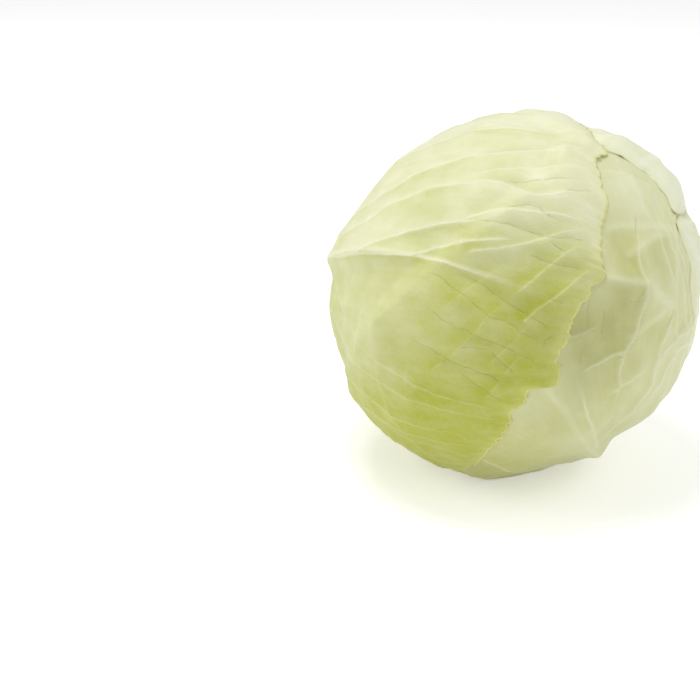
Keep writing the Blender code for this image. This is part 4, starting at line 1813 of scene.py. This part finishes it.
LEFT_LEAF = WrapperLeaf(
    LeafShape(
        name="wrapper_leaf_left",
        clock=172.0,
        middle=104.0,
        outline=(
            (180, 91.5), (165, 91), (125, 92), (90, 95), (66, 97.5), (60.3, 98.4), (56, 99.9),
            (54.6, 101.2), (51.7, 101.8), (49.9, 102.3), (47.1, 100.2), (45.2, 98.8), (42.8, 98.8),
            (39, 99.6), (36, 100.2), (32.8, 101.7), (30.4, 103.2), (28.7, 103.4), (26.9, 103.2),
            (24, 103.1), (17.7, 103.7), (12.2, 104), (9.7, 105.3), (7.9, 105.9), (5.8, 106.3),
            (4.4, 104.9), (3.2, 103.5), (1.2, 102.7), (-0.6, 102.7), (-2, 102.3), (-2.8, 101.3),
            (-5.2, 100.9), (-6.7, 100.4), (-8.3, 100), (-9.5, 100), (-11.3, 99.6), (-12.5, 99.6),
            (-14.2, 100.1), (-16.1, 99.9), (-17.4, 99.2), (-19.3, 98.7), (-21.1, 98.5), (-22.9, 99.1),
            (-24.6, 100.2), (-27.2, 100.3), (-28.8, 100.4), (-29.6, 98.4), (-30.2, 96), (-30.9, 94.1),
            (-31.8, 92.5), (-33.6, 92.1), (-35.3, 92.6), (-36.9, 92.2), (-38.2, 91.9), (-39.5, 91.1),
            (-40.9, 90.3), (-42.2, 89.8), (-45, 90.3), (-47.6, 90.1), (-58, 88.6), (-64, 87.8),
            (-71, 87.2), (-85, 85), (-103, 80), (-135, 82), (-165, 90),
        ),
        cells=214,
        rib=((-95, 0), (-3, -2), (25, 0), (47, 1), (74, -2), (102, -10)),
        rib_height=7.0,
        rib_end=95.0,
        rib_pale_end=78.0,
        rib_pale=0.6,
        rib_edge=1.0,
        rib_keel=0.5,
        waves=((13, 0.8, 0), (29, 0.5, 60), (103, 0.45, 25), (181, 0.2, 0)),
        ruffle=0.5,
        drawn_margin=(0.0, 64.0),
        rim=0.55,
        seed=17,
        lines=LEFT_VEINS + LEFT_BANKS + LEFT_CREASES + LEFT_FOLDS,
    ),
    LEFT_FINISH,
    branches=BranchRule(height=0.2, pale=0.08),
    veins=VeinRule((-78.0, -69.0, -60.0, -46.0, -31.0, -15.0, 2.0), sides=(-1,), height=0.4, pale=0.1),
    tints=tints_at(
        (90, 12, 24, 0.3), (34, -16, 22, -0.22), (44, 20, 11, 0.12), (34, 30, 10, 0.1), (60, 42, 9, 0.1),
        (77, 8, 6, -0.22), (84, -8, 7, 0, 0.12), (88, -24, 7, 0, 0.1), (20, 5, 12, -0.16),
        (20, -32, 18, -0.12), (50, 56, 18, 0.08), (58, 42, 14, 0.1),
    ),
    hold=-0.15,
    lifted=((-16.0, 34.0, 0.45), (53.7, 1.2, 0.9), (51.0, 0.8, 0.7), (46.5, 2.4, 0.9), (40.4, 0.9, 0.6)),
    lifted_dark=0.5,
    green=((-90, 1.0), (-55, 0.98), (-30, 0.84), (-12, 0.7), (0, 0.48), (15, 0.28), (35, 0.13), (95, 0.06)),
    fan_from=(-78.0, -4.0),
)


@dataclass(frozen=True)
class Studio:
    """The plain pale floor, the soft lights and the camera."""

    target: Place = HEAD.centre
    distance: float = 735.0  # millimetres from the camera to the target
    elevation: float = math.radians(20.0)
    yaw: float = math.radians(6.637)
    pitch: float = math.radians(22.3)
    lens: float = 77.14
    floor_size: float = 7.0  # metres from its middle to each side
    floor_colour: Colour = (0.9, 0.9, 0.895, 1.0)
    ambient: float = 0.42  # what falls on things, where the backdrop that the camera sees has 1
    lamps: tuple[tuple[str, Place, float, float], ...] = (  # name, place, metres a side, watts
        ("key", (-0.3, 0.05, 1.5), 0.55, 9.9),
        ("front", (0.9, -1.2, 1.1), 1.4, 5.6),
        ("left", (-1.4, -0.1, 0.7), 1.0, 7.6),
        ("right", (1.3, 0.4, 0.8), 1.0, 4.4),
    )

    def lay_floor(self) -> None:
        """Lays the floor, which isn't part of the object."""
        bm = bmesh.new()
        bmesh.ops.create_grid(bm, x_segments=1, y_segments=1, size=self.floor_size)
        mesh = bpy.data.meshes.new("floor")
        bm.to_mesh(mesh)
        bm.free()
        floor = bpy.data.objects.new("floor", mesh)
        bpy.context.scene.collection.objects.link(floor)
        material, sketch, shader = fresh_material("floor")
        looks = {
            "Base Color": self.floor_colour,
            "Roughness": 0.9,
            "Specular IOR Level": 0.1,
            "Emission Color": WHITE,
            "Emission Strength": sketch.where_seen(0.14, 0.36),
        }
        sketch.fill(shader, looks)
        mesh.materials.append(material)

    def light_world(self) -> None:
        """Sets the even light that comes from all round."""
        world = bpy.data.worlds.new("studio")
        world.use_nodes = True
        background = world.node_tree.nodes["Background"]
        sketch = Sketch(world.node_tree)
        sketch.fill(background, {"Color": WHITE, "Strength": sketch.where_seen(self.ambient, 1.0)})
        bpy.context.scene.world = world

    def hang_light(self, name: str, place: Place, size: float, power: float) -> None:
        """Hangs one square soft light that faces the head.

        Args:
            name: The light's name.
            place: Where it hangs, in metres from the head's centre.
            size: Its side in metres.
            power: Its power in watts.
        """
        lamp = bpy.data.lights.new(name, "AREA")
        lamp.shape = "SQUARE"
        lamp.size = size
        lamp.energy = power
        light = bpy.data.objects.new(name, lamp)
        away = np.array(place)
        light.matrix_world = self.facing(np.array(self.target) * MM + away, -away)
        bpy.context.scene.collection.objects.link(light)

    def facing(self, place: Array, ahead: Array) -> Matrix:
        """Gives the matrix of a lamp or camera at a place that looks one way.

        Args:
            place: Where it is.
            ahead: The way it looks.

        Returns:
            Its matrix, with its top up.
        """
        ahead = ahead / np.linalg.norm(ahead)
        right = np.cross(ahead, (0.0, 0.0, 1.0))
        right = right / np.linalg.norm(right)
        rows = np.stack([right, np.cross(right, ahead), -ahead, place], axis=1)
        return Matrix([*rows.tolist(), [0.0, 0.0, 0.0, 1.0]])

    def set_camera(self) -> None:
        """Sets the camera at the photograph's viewing angle."""
        data = bpy.data.cameras.new("camera")
        data.lens = self.lens
        camera = bpy.data.objects.new("camera", data)
        away = np.array([0.0, -math.cos(self.elevation), math.sin(self.elevation)]) * self.distance
        level = math.cos(self.pitch)
        ahead = np.array([-math.sin(self.yaw) * level, math.cos(self.yaw) * level, -math.sin(self.pitch)])
        camera.matrix_world = self.facing((np.array(self.target) + away) * MM, ahead)
        bpy.context.scene.collection.objects.link(camera)
        bpy.context.scene.camera = camera

    def build(self) -> None:
        """Sets up everything round the object."""
        bpy.context.scene.view_settings.view_transform = "Standard"
        self.lay_floor()
        self.light_world()
        for lamp in self.lamps:
            self.hang_light(*lamp)
        self.set_camera()


def main() -> None:
    """Builds the studio and the head, from the inside out."""
    logging.basicConfig(level=logging.INFO, format="%(message)s")
    Studio().build()
    InnerLeaves(HEAD, INNER_FINISH).build()
    LOG.info("packed inner leaves")
    CutStalk(HEAD).build()
    LOG.info("cut stalk")
    stack = LeafStack(HEAD)
    for leaf in (FLOOR_LEAF, TOP_LEAF, LOWER_LEAF, UPPER_LEAF, RIGHT_LEAF, LEFT_LEAF):
        piece = stack.lay(leaf)
        lines = leaf.full_reader.leaf.lines
        LOG.info("%s: %d points, %d lines", piece.name, len(piece.data.vertices), len(lines))


if __name__ == "__main__":
    main()
